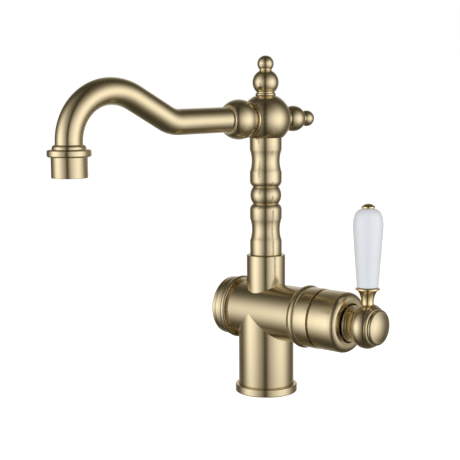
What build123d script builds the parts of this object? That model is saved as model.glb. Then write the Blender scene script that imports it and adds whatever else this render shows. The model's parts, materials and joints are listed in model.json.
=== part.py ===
"""High-rise basin mixer tap with a swivelling swan-neck spout and a side lever.

Millimetres, +Z up. The origin is on the column axis at the deck. The barrel points
along +X and the spout, before its swing, along -Y.
"""
import math
import os

from build123d import *

# Fits
RUN = 0.06            # radial clearance of a turning or sliding fit
SEAT = 0.02           # radial clearance of a fixed fit
FACE_GAP = 0.05       # gap between faces that slide on each other
ORING_ROOM = 0.05     # room round a ring seal in its groove

# Stem and base
STEM_R = 24.0
BASE_R = 27.0
BASE_H = 6.7
BASE_EDGE = 1.0
BASE_RING_W = 5.5     # from the stem's spigot to the ring's outside
BASE_SEAL_SECTION = 2.0
INLET_R = 4.5
INLET_THREAD_L = 14.0
INLET_Y = 9.0
STUD_R = 3.4
STUD_HOLE_L = 22.0
STUD_X = -12.0
SADDLE_DEPTH = 8.0    # below the barrel axis, where the stem ends at its sides

# Barrel, measured along its axis from the column axis
BARREL_Z = 71.7
BARREL_R = 24.0
REAR_END = -26.0
TRIM_START = 43.2
TRIM_END = 48.5
TRIM_R = 26.5
NOSE_R = 25.4
NOSE_END = 63.0
SPIGOT_R = 22.9
CHAMBER_R = 20.2
CHAMBER_FLOOR = 56.0
POCKET_R = 18.6
POCKET_DEPTH = 12.0
CHANNEL_R = 3.8
PORT_Y = 9.0
PORT_Z = 6.5
OUTLET_PORT_Z = -8.5

# Neck that carries the swivelling column
NECK_R = 16.8
NECK_TOP = 120.9
NECK_RIM = 0.6
SOCKET_R = 12.6
SOCKET_DEPTH = 27.0
WATERWAY_R = 7.5
WATERWAY_WALL = 2.0
RISER_R = 3.8
BUSH_H = 6.0
SWIVEL_R = 11.1
SWIVEL_SEAL_SECTION = 2.4
RETAINER_GROOVE_W = 3.4
RETAINER_GROOVE_D = 1.4
RETAINER_R = 1.5

# Rear end cap
CAP_RING_R = 27.4
CAP_RING_W = 4.6
CAP_GROOVE_R = 25.2
CAP_GROOVE_W = 2.4
CAP_RIM_R = 25.6
CAP_LENGTH = 15.2
CAP_DISH = 1.2
CAP_PLUG_L = 8.0
CAP_SEAL_SECTION = 1.9

# Cartridge stack along the barrel
PIVOT_X = 88.0
STEM_REACH = 14.0
CART_R = 19.9
BASE_PLATE_T = 6.0
BASE_PLATE_GAP = 0.45
PLATE_RIM_T = 1.5
PLATE_RIM_GAP = 2.4
PORT_SEAL_SECTION = 1.5
PORT_SEAL_LEDGE = 1.2
DISC_T = 4.0
FIXED_DISC_R = 15.6
MOVING_DISC_R = 13.0
MIX_RECESS_R = 7.9
MIX_RECESS_Z = -2.9
MIX_RECESS_D = 2.0
DISC_PORT_R = 3.0
HOUSING_WALL = 1.8
DISC_STEP = 0.5       # the discs stand this much proud of their seats
CARRIER_T = 6.2
CARRIER_Y = 12.0
CARRIER_Z = 12.5
CARRIER_ROOM = 0.15
ROTOR_NECK_R = 9.5
ROTOR_TOP = 90.6
HOUSING_NECK_R = 12.6
HOUSING_TOP_T = 2.0
NUT_R = 20.7
NUT_T = 3.5
NUT_NOTCHES = 12
NOTCH_W = 2.0
NOTCH_DEPTH = 1.5
NOTCH_REACH = 2.0
PIN_R = 1.5
PIN_L = 17.6
TILT_MAX = 20.0
STEM_W = 6.0
STEM_TIP_R = 2.4
STEM_WAIST_W = 3.2
STEM_WAIST_END = 1.2
SHANK_W = 8.0
SHANK_END = 103.0

# Cover over the cartridge
COVER_GAP = 0.6
COVER_R = 25.2
COVER_BORE_R = 23.1
COVER_SEAM_X = 84.0
COVER_FRONT_X = 90.0
COVER_ROUND = 6.0
COVER_EDGE = 0.4
RING_SPIGOT_L = 1.2
RING_SPIGOT_WALL = 1.0
MOUTH_R = 16.0
MOUTH_EDGE = 0.6

# Knob
KNOB_BACK = 91.0
SKIRT_R = 13.4
SKIRT_T = 1.5
KNOB_NECK_R = 12.0
KNOB_BORE_R = 10.3
KNOB_BORE_END = 97.0
KNOB_SPIGOT_R = 8.2
CREASE_X = 98.6
CREASE_R = 13.4
KNOB_R = 18.5
KNOB_MID_X = 106.8
KNOB_RIM_X = 113.8
KNOB_RIM_R = 16.0
KNOB_FRONT_X = 116.2
KNOB_FRONT_R = 13.8
KNOB_RECESS_R = 9.6
KNOB_RECESS_X = 109.0
DOME_R = 14.9
DOME_NECK_R = 13.2
DOME_BACK_T = 1.1
DOME_END = 122.6
DOME_EDGE = 2.4
CAP_BOSS_L = 3.5
KNOB_SCREW_R = 2.0
KNOB_SCREW_L = 12.0
KNOB_SCREW_HEAD_R = 4.2
KNOB_SCREW_HEAD_T = 3.0

# Lever, heights above the barrel axis
LEVER_X = 105.9
ROD_R = 2.5
ROD_BOTTOM = 9.5
FERRULE_BASE = 17.6
FERRULE_R = 5.1
FERRULE_TOP = 31.4
FERRULE_LIP_R = 9.9
LEVER_FOOT_R = 8.7
LEVER_BELLY_R = 12.3
LEVER_BELLY_H = 81.5
LEVER_NECK_R = 11.1
LEVER_NECK_H = 90.0
LEVER_SHOULDER_H = 5.4
LEVER_SHOULDER_R = 5.6
LEVER_SHOULDER_BOW = 1.03
LEVER_BORE_R = 3.2
LEVER_CAP_R = 5.5
LEVER_CAP_H = 3.7
WASHER_T = 0.5

# Column, heights above the deck
COLUMN_R = 13.8
WAIST_R = 12.1
GROOVE_R = 11.0
BEAD_R = 13.45
LOW_WAIST = (133.2, 152.6)
LOW_GROOVE = 165.2
HIGH_GROOVE = 179.9
HIGH_WAIST = (192.6, 211.8)
FLANK = 5.0
COLUMN_BORE_R = 8.0
COLUMN_TENON_R = 10.6
COLUMN_TENON_L = 5.0

# Hub ball and finials
HUB_Z = 237.8
HUB_R = 21.8
HUB_FOOT = 15.7
FINIAL_SEAT = 19.6
FINIAL_RING_R = 8.8
FINIAL_RING_T = 2.4
FINIAL_NECK_R = 7.8
FINIAL_BALL_R = 11.2
FINIAL_BALL_AT = 31.1
FINIAL_WAIST_R = 5.2
FINIAL_TIP_R = 7.0
FINIAL_TIP_AT = 46.9
FINIAL_STUD_R = 4.0
FINIAL_STUD_L = 6.0
HUB_BORE_R = 8.0

# Spout, distances along it from the column axis
SWING = -10.5
COLLAR_SEAT = 16.2
COLLAR_RING_R = 14.6
COLLAR_RING_T = 2.6
COLLAR_GROOVE_R = 12.9
COLLAR_BALL_R = 16.9
COLLAR_BALL_AT = 29.6
COLLAR_END = 41.0
COLLAR_LIP_R = 12.0
COLLAR_LIP_T = 1.0
COLLAR_TENON_R = 10.2
COLLAR_TENON_L = 7.0
TUBE_R = 10.6
TUBE_WALL = 1.3
TUBE_START = 25.0
DROOP = 1.25
DIP_X = 90.9
DIP_BEND_R = 26.9
RISE = 28.7
RISE_RUN = 33.6
CROOK_IN_R = 42.3
CROOK_OUT_R = 37.9

# Nozzle, heights above the deck
NOZZLE_BOTTOM = 196.6
NOZZLE_R = 13.9
FLANGE_BOTTOM = 212.3
FLANGE_TOP = 217.9
FLANGE_R = 16.8
FLANGE_EDGE = 1.4
FLARE_TOP = 221.4
FLARE_R = 13.0
NOZZLE_LIP_R = 12.9
TUBE_SEAT = 213.4
AERATOR_R = 11.9
AERATOR_RECESS = 1.6
AERATOR_H = 9.0
AERATOR_WALL = 1.3
WEB_T = 1.0
SCREEN_T = 0.8
SCREEN_HOLE_R = 0.85
SCREEN_RINGS = (3.2, 6.0, 8.7)
GASKET_T = 1.4

# Values worked out from the sizes above
BASE_SPIGOT_R = BASE_R - BASE_RING_W
BASE_SEAL_R = (BASE_SPIGOT_R + BASE_R) / 2
SADDLE_Z = BARREL_Z - SADDLE_DEPTH
LEVER_TOP = LEVER_NECK_H + LEVER_SHOULDER_H
TIP_X = PIVOT_X - STEM_REACH
BASE_PLATE_X = CHAMBER_FLOOR + BASE_PLATE_GAP
FIXED_DISC_X = BASE_PLATE_X + BASE_PLATE_T
MOVING_DISC_X = FIXED_DISC_X + DISC_T + FACE_GAP
CARRIER_X = MOVING_DISC_X + DISC_T
CARRIER_TOP = CARRIER_X + CARRIER_T
ROTOR_X = MOVING_DISC_X + DISC_T + FACE_GAP
HOUSING_BORE_R = CART_R - HOUSING_WALL
ROTOR_BASE_TOP = CARRIER_TOP + 0.3
HOUSING_TOP = ROTOR_BASE_TOP + FACE_GAP
NUT_X = HOUSING_TOP + HOUSING_TOP_T + 0.02
NUT_END = NUT_X + NUT_T
SPIGOT_END = NUT_END
COVER_START = NOSE_END + COVER_GAP
CAP_END = REAR_END - CAP_LENGTH
NECK_SOCKET = NECK_TOP - SOCKET_DEPTH
SWIVEL_BOTTOM = NECK_SOCKET + 1.0
HUB_BOTTOM = HUB_Z - HUB_FOOT
AERATOR_BOTTOM = NOZZLE_BOTTOM + AERATOR_RECESS
AERATOR_TOP = AERATOR_BOTTOM + AERATOR_H
SLIDE_TRAVEL = STEM_REACH * math.radians(TILT_MAX)


def turned(*points):
    """Solid of revolution about +Z from (radius, height) points, closed in order.

    A third value on a point bows the stretch that leads to it outwards by that much.
    """
    edges = []
    for start, end in zip(points, points[1:] + points[:1]):
        a, b = Vector(start[0], 0, start[1]), Vector(end[0], 0, end[1])
        bow = end[2] if len(end) > 2 else 0
        if bow:
            run = (b - a).normalized()
            edges.append(ThreePointArc(a, (a + b) / 2 + Vector(run.Z, 0, -run.X) * bow, b))
        else:
            edges.append(Line(a, b))
    return revolve(make_face(Wire(edges)), Axis.Z)


def rod(radius, low, high, at=(0, 0)):
    """Upright round bar between two heights."""
    upright = (Align.CENTER, Align.CENTER, Align.MIN)
    return Pos(at[0], at[1], low) * Cylinder(radius, high - low, align=upright)


def sleeve(outer, inner, low, high):
    """Upright tube between two heights."""
    return rod(outer, low, high) - rod(inner, low - 1, high + 1)


def ring_seal(middle, section, height):
    """Round-section ring seal lying flat at a height."""
    return Pos(0, 0, height) * Torus(middle, section / 2)


def block(x, y, z):
    """Box between two values on each axis."""
    corner = Pos(x[0], y[0], z[0])
    return corner * Box(x[1] - x[0], y[1] - y[0], z[1] - z[0], align=(Align.MIN,) * 3)


def sagitta(radius, half_chord):
    """Height of a circle's arc over its chord."""
    return radius - math.sqrt(radius ** 2 - half_chord ** 2)


def crest(run, rise):
    """Bow of an arc that climbs a rise over a run and is level at the top."""
    return sagitta((run ** 2 + rise ** 2) / (2 * rise), math.hypot(run, rise) / 2)


def on_barrel(solid):
    """Lay an upright solid along the barrel: its height becomes +X."""
    return Pos(0, 0, BARREL_Z) * Rot(0, 90, 0) * solid


def on_spout(solid):
    """Lay an upright solid along the spout: its height becomes the spout's direction."""
    return Rot(0, 0, SWING) * Pos(0, 0, HUB_Z) * Rot(90, 0, 0) * solid


def swung(solid):
    """Turn a solid made over the -Y axis to where the spout points."""
    return Rot(0, 0, SWING) * solid


def bore_x(radius, low, high, y=0, z=0):
    """Round bar along the barrel, off its axis by y and z."""
    return Pos(0, y, z) * on_barrel(rod(radius, low, high))


# Valve body and what is fixed to it

def inlet_channels():
    """The two upright water channels and their threaded ends at the deck."""
    bars = []
    for side in (-1, 1):
        bars.append(rod(INLET_R, -1, INLET_THREAD_L, (0, side * INLET_Y)))
        bars.append(rod(CHANNEL_R, 0, BARREL_Z + PORT_Z, (0, side * PORT_Y)))
    return bars


def make_stem():
    stem = rod(BASE_SPIGOT_R, 0, BASE_H) + rod(STEM_R, BASE_H, SADDLE_Z)
    stem -= on_barrel(rod(BARREL_R, -2 * STEM_R, 2 * STEM_R))
    stem -= inlet_channels()
    return stem - rod(STUD_R, -1, STUD_HOLE_L, (STUD_X, 0))


def neck_bores():
    """Socket, waterway and riser that run down from the neck's top."""
    socket = rod(SOCKET_R, NECK_SOCKET, NECK_TOP + 1)
    waterway = rod(WATERWAY_R, BARREL_Z + PORT_Z + CHANNEL_R + WATERWAY_WALL, NECK_TOP)
    riser = rod(RISER_R, BARREL_Z + OUTLET_PORT_Z - CHANNEL_R, NECK_TOP)
    return [socket, waterway, riser]


def make_body_casting():
    trim_bow = min(0.9, (TRIM_END - TRIM_START) / 2)
    barrel = on_barrel(turned(
        (0, REAR_END), (BARREL_R, REAR_END), (BARREL_R, TRIM_START), (TRIM_R - trim_bow, TRIM_START),
        (TRIM_R - trim_bow, TRIM_END, trim_bow), (NOSE_R, TRIM_END), (NOSE_R, NOSE_END - COVER_EDGE),
        (NOSE_R - COVER_EDGE, NOSE_END), (SPIGOT_R, NOSE_END), (SPIGOT_R, SPIGOT_END), (0, SPIGOT_END)))
    body = barrel + rod(STEM_R, SADDLE_Z, BARREL_Z)
    body -= on_barrel(rod(POCKET_R, REAR_END - 1, REAR_END + POCKET_DEPTH))
    body -= on_barrel(rod(CHAMBER_R, CHAMBER_FLOOR, SPIGOT_END + 1))
    body -= on_barrel(rod(NUT_R + SEAT, NUT_X - SEAT, SPIGOT_END + 1))
    body -= neck_bores()
    body -= bore_x(CHANNEL_R, 0, CHAMBER_FLOOR + 1, 0, OUTLET_PORT_Z)
    body -= inlet_channels()
    for side in (-1, 1):
        body -= bore_x(CHANNEL_R, -CHANNEL_R, CHAMBER_FLOOR + 1, side * PORT_Y, PORT_Z)
    return body


def make_neck():
    neck = rod(NECK_R, BARREL_Z, NECK_TOP - NECK_RIM) + rod(NECK_R - NECK_RIM, BARREL_Z, NECK_TOP)
    neck -= on_barrel(rod(BARREL_R, -2 * NECK_R, 2 * NECK_R))
    neck -= neck_bores()
    return neck - retainer_bore(RETAINER_R + SEAT)


def retainer_height():
    """Height of the screw that keeps the column in the neck."""
    return (NECK_SOCKET + NECK_TOP) / 2


def retainer_bore(radius):
    """Bar through the back wall of the neck, where the retaining screw sits."""
    return Pos(0, 0, retainer_height()) * Rot(-90, 0, 0) * rod(radius, SWIVEL_R, NECK_R + 1)


def make_base_ring():
    ring = turned(
        (BASE_SPIGOT_R + SEAT, 0), (BASE_R - BASE_EDGE, 0), (BASE_R, BASE_EDGE, 0.3),
        (BASE_R, BASE_H - BASE_EDGE), (BASE_R - BASE_EDGE, BASE_H, 0.3), (BASE_SPIGOT_R + SEAT, BASE_H))
    half = BASE_SEAL_SECTION / 2 + ORING_ROOM
    return ring - sleeve(BASE_SEAL_R + half, BASE_SEAL_R - half, -1, BASE_SEAL_SECTION + ORING_ROOM)


def make_base_seal():
    return ring_seal(BASE_SEAL_R, BASE_SEAL_SECTION, BASE_SEAL_SECTION / 2)


def cap_groove_x():
    """Middle of the seal groove on the end cap's plug."""
    return REAR_END + CAP_PLUG_L / 2


def make_rear_end_cap():
    ring_back = REAR_END - CAP_RING_W
    groove_back = ring_back - CAP_GROOVE_W
    rim = (groove_back - CAP_END) / 2
    cap = turned(
        (0, CAP_END + CAP_DISH), (CAP_RIM_R - 4, CAP_END + CAP_DISH), (CAP_RIM_R - 4, CAP_END),
        (CAP_RIM_R - 1.2, CAP_END), (CAP_RIM_R, CAP_END + 1.6, 0.4), (CAP_RIM_R, groove_back - rim / 2),
        (CAP_GROOVE_R, groove_back, 0.4), (CAP_GROOVE_R, ring_back),
        (CAP_RING_R - 1, ring_back), (CAP_RING_R - 1, REAR_END, 1.0), (POCKET_R - SEAT, REAR_END),
        (POCKET_R - SEAT, REAR_END + CAP_PLUG_L), (POCKET_R - 4, REAR_END + CAP_PLUG_L),
        (POCKET_R - 4, ring_back), (0, ring_back))
    depth = CAP_SEAL_SECTION + ORING_ROOM
    half = CAP_SEAL_SECTION / 2 + ORING_ROOM
    groove = sleeve(POCKET_R + 1, POCKET_R - depth, cap_groove_x() - half, cap_groove_x() + half)
    return on_barrel(cap - groove)


def make_rear_cap_seal():
    middle = POCKET_R - CAP_SEAL_SECTION / 2 - ORING_ROOM / 2
    return on_barrel(ring_seal(middle, CAP_SEAL_SECTION, cap_groove_x()))


def bush_inner_r():
    """Bore of the two swivel bushes."""
    return SWIVEL_R + RUN


def make_neck_bush(low):
    return sleeve(SOCKET_R - SEAT, bush_inner_r(), low, low + BUSH_H)


def make_retaining_screw():
    screw = Rot(-90, 0, 0) * rod(RETAINER_R, SWIVEL_R - RETAINER_GROOVE_D + 0.3, NECK_R - 1.2)
    slot = block((-0.4, 0.4), (NECK_R - 2.2, NECK_R), (-RETAINER_R, RETAINER_R))
    return Pos(0, 0, retainer_height()) * (screw - slot)


def port_places():
    """Sideways and upward places of the two inlet ports and the outlet port."""
    return [(-PORT_Y, PORT_Z), (PORT_Y, PORT_Z), (0, OUTLET_PORT_Z)]


def make_cartridge_base():
    plate = on_barrel(rod(CART_R, BASE_PLATE_X, FIXED_DISC_X))
    plate += on_barrel(sleeve(CART_R, FIXED_DISC_R + PLATE_RIM_GAP, FIXED_DISC_X, FIXED_DISC_X + PLATE_RIM_T))
    for y, z in port_places():
        plate -= bore_x(DISC_PORT_R + 0.3, CHAMBER_FLOOR, FIXED_DISC_X + 1, y, z)
        seat_r = DISC_PORT_R + PORT_SEAL_LEDGE + PORT_SEAL_SECTION / 2 + 0.25
        plate -= bore_x(seat_r, CHAMBER_FLOOR, CHAMBER_FLOOR + PORT_SEAL_SECTION + 2 * SEAT + 0.11, y, z)
    return plate


def make_cartridge_seals():
    middle = CHAMBER_FLOOR + PORT_SEAL_SECTION / 2 + SEAT
    seals = []
    for y, z in port_places():
        seal = on_barrel(ring_seal(DISC_PORT_R + PORT_SEAL_LEDGE, PORT_SEAL_SECTION, middle))
        seals.append(Pos(0, y, z) * seal)
    return Compound(children=seals)


def make_fixed_disc():
    disc = on_barrel(rod(FIXED_DISC_R, FIXED_DISC_X, FIXED_DISC_X + DISC_T))
    for y, z in port_places():
        disc -= bore_x(DISC_PORT_R, FIXED_DISC_X - 1, FIXED_DISC_X + DISC_T + 1, y, z)
    return disc


def make_cartridge_housing():
    start = FIXED_DISC_X + PLATE_RIM_T
    neck_end = NUT_END - COVER_EDGE
    body = sleeve(CART_R, HOUSING_BORE_R, start, HOUSING_TOP)
    body += rod(CART_R, HOUSING_TOP, HOUSING_TOP + HOUSING_TOP_T) + rod(HOUSING_NECK_R, HOUSING_TOP, neck_end)
    body -= rod(ROTOR_NECK_R + RUN, HOUSING_TOP - 1, neck_end + 1)
    body += sleeve(HOUSING_BORE_R + DISC_STEP, FIXED_DISC_R + SEAT, start, FIXED_DISC_X + DISC_T - DISC_STEP)
    return on_barrel(body)


def make_cartridge_nut():
    nut = sleeve(NUT_R, HOUSING_NECK_R + RUN, NUT_X, NUT_END)
    notch = block(
        (0, HOUSING_NECK_R + NOTCH_REACH), (-NOTCH_W / 2, NOTCH_W / 2), (NUT_END - NOTCH_DEPTH, NUT_END + 1))
    for i in range(NUT_NOTCHES):
        nut -= Rot(0, 0, i * 360 / NUT_NOTCHES) * notch
    return on_barrel(nut)


def make_handle_cover():
    """Plain sleeve over the cartridge."""
    return on_barrel(turned(
        (COVER_BORE_R, COVER_START), (COVER_R - COVER_EDGE, COVER_START), (COVER_R, COVER_START + COVER_EDGE),
        (COVER_R, COVER_SEAM_X), (COVER_BORE_R, COVER_SEAM_X)))


def make_cover_front_ring():
    """Rounded ring that closes the sleeve's front and leaves the mouth that the knob moves in."""
    spigot_r, spigot_x = COVER_BORE_R - SEAT, COVER_SEAM_X - RING_SPIGOT_L
    inner_r = spigot_r - RING_SPIGOT_WALL
    rounding = min(COVER_ROUND, COVER_FRONT_X - COVER_SEAM_X, COVER_R - MOUTH_R - MOUTH_EDGE)
    bow = sagitta(rounding, rounding * math.sqrt(0.5))
    return on_barrel(turned(
        (MOUTH_R, COVER_SEAM_X), (inner_r, COVER_SEAM_X), (inner_r, spigot_x), (spigot_r, spigot_x),
        (spigot_r, COVER_SEAM_X), (COVER_R, COVER_SEAM_X), (COVER_R, COVER_FRONT_X - rounding + 0.01),
        (COVER_R - rounding, COVER_FRONT_X, bow), (MOUTH_R + MOUTH_EDGE, COVER_FRONT_X),
        (MOUTH_R, COVER_FRONT_X - MOUTH_EDGE, 0.15)))


# Swivelling column and spout

def column_edge():
    """Turned outline of the column from the neck up, as (radius, height, bow) points."""
    waist = COLUMN_R - WAIST_R
    bead_bow = BEAD_R - GROOVE_R
    flank_bow = 0.7
    return [
        (COLUMN_R, LOW_WAIST[0]), (COLUMN_R, LOW_WAIST[1], -waist),
        (COLUMN_R, LOW_GROOVE - FLANK), (GROOVE_R, LOW_GROOVE, flank_bow),
        (GROOVE_R, HIGH_GROOVE, bead_bow), (COLUMN_R, HIGH_GROOVE + FLANK, flank_bow),
        (COLUMN_R, HIGH_WAIST[0]), (COLUMN_R, HIGH_WAIST[1], -waist)]


def swivel_seal_heights():
    """Heights of the two ring seals on the column's swivel end."""
    middle = retainer_height()
    step = (SOCKET_DEPTH / 2 - BUSH_H) / 2 + RETAINER_GROOVE_W / 4
    return [middle - step, middle + step]


def make_column():
    shoulder = NECK_TOP + FACE_GAP
    column = turned(
        (COLUMN_BORE_R, SWIVEL_BOTTOM), (SWIVEL_R, SWIVEL_BOTTOM), (SWIVEL_R, shoulder), (COLUMN_R, shoulder),
        *column_edge(),
        (COLUMN_R, HUB_BOTTOM), (COLUMN_TENON_R, HUB_BOTTOM), (COLUMN_TENON_R, HUB_BOTTOM + COLUMN_TENON_L),
        (COLUMN_BORE_R, HUB_BOTTOM + COLUMN_TENON_L))
    half = SWIVEL_SEAL_SECTION / 2 + ORING_ROOM
    seal_floor = SOCKET_R - RUN - SWIVEL_SEAL_SECTION - ORING_ROOM
    for height in swivel_seal_heights():
        column -= sleeve(SWIVEL_R + 1, seal_floor, height - half, height + half)
    middle = retainer_height()
    half = RETAINER_GROOVE_W / 2
    return column - sleeve(SWIVEL_R + 1, SWIVEL_R - RETAINER_GROOVE_D, middle - half, middle + half)


def make_swivel_seals():
    middle = SOCKET_R - RUN - SWIVEL_SEAL_SECTION / 2
    return Compound(children=[ring_seal(middle, SWIVEL_SEAL_SECTION, h) for h in swivel_seal_heights()])


def make_hub():
    hub = Pos(0, 0, HUB_Z) * Sphere(HUB_R)
    hub -= rod(HUB_R + 1, HUB_BOTTOM - HUB_R, HUB_BOTTOM)
    hub -= rod(HUB_R + 1, HUB_Z + FINIAL_SEAT, HUB_Z + HUB_R + 1)
    hub -= on_spout(rod(HUB_R, COLLAR_SEAT, HUB_R + 1))
    hub -= on_spout(rod(HUB_R, -HUB_R - 1, -FINIAL_SEAT))
    hub -= rod(COLUMN_TENON_R + SEAT, HUB_BOTTOM - 1, HUB_BOTTOM + COLUMN_TENON_L)
    hub -= rod(HUB_BORE_R, HUB_BOTTOM, HUB_Z + HUB_BORE_R / 2)
    hub -= on_spout(rod(HUB_BORE_R, 0, HUB_R))
    hub -= on_spout(rod(COLLAR_TENON_R + SEAT, COLLAR_SEAT - COLLAR_TENON_L, HUB_R))
    stud = FINIAL_SEAT - FINIAL_STUD_L
    hub -= rod(FINIAL_STUD_R + SEAT, HUB_Z + stud, HUB_Z + HUB_R)
    hub -= on_spout(rod(FINIAL_STUD_R + SEAT, -HUB_R, -stud))
    return hub


def make_finial():
    """Finial standing on the height where it seats, with its threaded stud below."""
    ring_top = FINIAL_SEAT + FINIAL_RING_T
    ball_low = FINIAL_BALL_AT - math.sqrt(FINIAL_BALL_R ** 2 - FINIAL_NECK_R ** 2)
    ball_high = FINIAL_BALL_AT + math.sqrt(FINIAL_BALL_R ** 2 - FINIAL_WAIST_R ** 2)
    tip_low = FINIAL_TIP_AT - math.sqrt(FINIAL_TIP_R ** 2 - FINIAL_WAIST_R ** 2)

    ball_chord = math.hypot(FINIAL_NECK_R - FINIAL_WAIST_R, ball_high - ball_low) / 2
    tip_top = FINIAL_TIP_AT + FINIAL_TIP_R
    tip_chord = math.hypot(FINIAL_WAIST_R, tip_top - tip_low) / 2
    return turned(
        (0, FINIAL_SEAT - FINIAL_STUD_L), (FINIAL_STUD_R, FINIAL_SEAT - FINIAL_STUD_L),
        (FINIAL_STUD_R, FINIAL_SEAT), (FINIAL_RING_R - 0.5, FINIAL_SEAT),
        (FINIAL_RING_R - 0.5, ring_top, 0.5), (FINIAL_NECK_R, ring_top), (FINIAL_NECK_R, ball_low),
        (FINIAL_WAIST_R, ball_high, sagitta(FINIAL_BALL_R, ball_chord)),
        (FINIAL_WAIST_R, tip_low), (0, tip_top, sagitta(FINIAL_TIP_R, tip_chord)))


def make_top_finial():
    return swung(Pos(0, 0, HUB_Z) * make_finial())


def make_rear_finial():
    return swung(Pos(0, 0, HUB_Z) * Rot(-90, 0, 0) * make_finial())


def make_spout_collar():
    ring_end = COLLAR_SEAT + COLLAR_RING_T
    ball_low = COLLAR_BALL_AT - math.sqrt(COLLAR_BALL_R ** 2 - COLLAR_GROOVE_R ** 2)
    ball_end_r = math.sqrt(COLLAR_BALL_R ** 2 - (COLLAR_END - COLLAR_BALL_AT) ** 2)
    chord = math.hypot(ball_end_r - COLLAR_GROOVE_R, COLLAR_END - ball_low) / 2
    ball_bow = sagitta(COLLAR_BALL_R, chord)
    lip_end = COLLAR_END + COLLAR_LIP_T
    tenon = COLLAR_SEAT - COLLAR_TENON_L
    collar = on_spout(turned(
        (HUB_BORE_R, tenon), (COLLAR_TENON_R, tenon), (COLLAR_TENON_R, COLLAR_SEAT),
        (COLLAR_RING_R - 0.6, COLLAR_SEAT), (COLLAR_RING_R - 0.6, ring_end, 0.6),
        (COLLAR_GROOVE_R, ring_end), (COLLAR_GROOVE_R, max(ball_low, ring_end + 0.2)),
        (ball_end_r, COLLAR_END, ball_bow), (COLLAR_LIP_R, COLLAR_END), (COLLAR_LIP_R, lip_end - 0.3),
        (COLLAR_LIP_R - 0.3, lip_end, 0.08), (HUB_BORE_R, lip_end)))
    bore = Rot(90 + DROOP, 0, 0) * rod(TUBE_R + SEAT, -0.3, COLLAR_END)
    return collar - swung(Pos(0, -TUBE_START, tube_height(TUBE_START)) * bore)


def tube_height(along):
    """Height of the tube's centre line on its first run, at a distance along the spout."""
    return HUB_Z - (along - COLLAR_END) * math.tan(math.radians(DROOP))


def spout_route():
    """Centre line of the spout tube over the -Y axis, its corner points and its reach."""
    droop, rise = math.radians(DROOP), math.radians(RISE)
    edges = []

    def at(along, height):
        return Vector(0, -along, height)

    def bend(x, z, radius, begin, end, side):
        """Arc from slope begin to slope end; side is 1 for a rising bend, -1 for a falling one."""
        cx, cz = x - side * radius * math.sin(begin), z + side * radius * math.cos(begin)
        points = []
        for slope in (begin, (begin + end) / 2, end):
            points.append((cx + side * radius * math.sin(slope), cz - side * radius * math.cos(slope)))
        edges.append(ThreePointArc(*[at(*p) for p in points]))
        return points[-1]

    start = (TUBE_START, tube_height(TUBE_START))
    dip = (DIP_X, tube_height(DIP_X))
    edges.append(Line(at(*start), at(*dip)))
    foot = bend(*dip, DIP_BEND_R, -droop, rise, 1)
    top = (foot[0] + RISE_RUN * math.cos(rise), foot[1] + RISE_RUN * math.sin(rise))
    edges.append(Line(at(*foot), at(*top)))
    apex = bend(*top, CROOK_IN_R, rise, 0, -1)
    down = bend(*apex, CROOK_OUT_R, 0, -math.pi / 2, -1)
    edges.append(Line(at(*down), at(down[0], TUBE_SEAT)))
    return Wire(edges), down[0]


def make_spout_tube():
    route, _ = spout_route()
    section = Plane(origin=route @ 0, z_dir=route % 0) * (Circle(TUBE_R) - Circle(TUBE_R - TUBE_WALL))
    return swung(sweep(section, path=route))


def at_nozzle(solid):
    """Move an upright solid from the column axis to the spout's end."""
    return swung(Pos(0, -spout_route()[1], 0) * solid)


def make_nozzle():
    return at_nozzle(turned(
        (NOZZLE_LIP_R, NOZZLE_BOTTOM), (NOZZLE_R - 0.4, NOZZLE_BOTTOM), (NOZZLE_R, NOZZLE_BOTTOM + 0.4, 0.1),
        (NOZZLE_R, FLANGE_BOTTOM), (FLANGE_R - FLANGE_EDGE, FLANGE_BOTTOM),
        (FLANGE_R, FLANGE_BOTTOM + FLANGE_EDGE, 0.4), (FLANGE_R, FLANGE_TOP - FLANGE_EDGE),
        (FLANGE_R - FLANGE_EDGE, FLANGE_TOP, 0.4), (FLARE_R, FLANGE_TOP), (FLARE_R, FLANGE_TOP + 0.8),
        (TUBE_R + 0.9, FLARE_TOP, 0.5), (TUBE_R + SEAT, FLARE_TOP), (TUBE_R + SEAT, TUBE_SEAT),
        (TUBE_R - TUBE_WALL, TUBE_SEAT), (TUBE_R - TUBE_WALL, AERATOR_TOP + GASKET_T),
        (AERATOR_R + SEAT, AERATOR_TOP + GASKET_T), (AERATOR_R + SEAT, AERATOR_BOTTOM - 0.2),
        (NOZZLE_LIP_R, AERATOR_BOTTOM - 0.2)))


def make_aerator_insert():
    inner = AERATOR_R - AERATOR_WALL
    cup = sleeve(AERATOR_R, inner, AERATOR_BOTTOM, AERATOR_TOP)
    for i in range(4):
        web = block((0, inner + 0.2), (-WEB_T / 2, WEB_T / 2), (AERATOR_BOTTOM + 2.5, AERATOR_TOP - 2))
        cup += Rot(0, 0, 90 * i) * web
    return at_nozzle(cup)


def make_aerator_screen():
    disc = rod(AERATOR_R - AERATOR_WALL - SEAT, AERATOR_BOTTOM + 0.6, AERATOR_BOTTOM + 0.6 + SCREEN_T)
    hole = rod(SCREEN_HOLE_R, AERATOR_BOTTOM, AERATOR_BOTTOM + 3)
    disc -= hole
    for radius in SCREEN_RINGS:
        count = int(2 * math.pi * radius / (SCREEN_HOLE_R * 3.2))
        disc -= [Rot(0, 0, 360 * i / count) * Pos(radius, 0, 0) * hole for i in range(count)]
    return at_nozzle(disc)


def make_aerator_filter():
    """Domed inlet strainer on top of the insert."""
    edge = AERATOR_R - AERATOR_WALL - SEAT
    low = AERATOR_TOP - 1.6
    return at_nozzle(turned((0, low), (edge, low), (edge, low + 0.8), (0, low + 2.4, crest(edge, 1.6))))


def make_aerator_gasket():
    return at_nozzle(sleeve(AERATOR_R - 0.1, TUBE_R - TUBE_WALL, AERATOR_TOP, AERATOR_TOP + GASKET_T - 0.02))


# Turning and tilting handle

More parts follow.
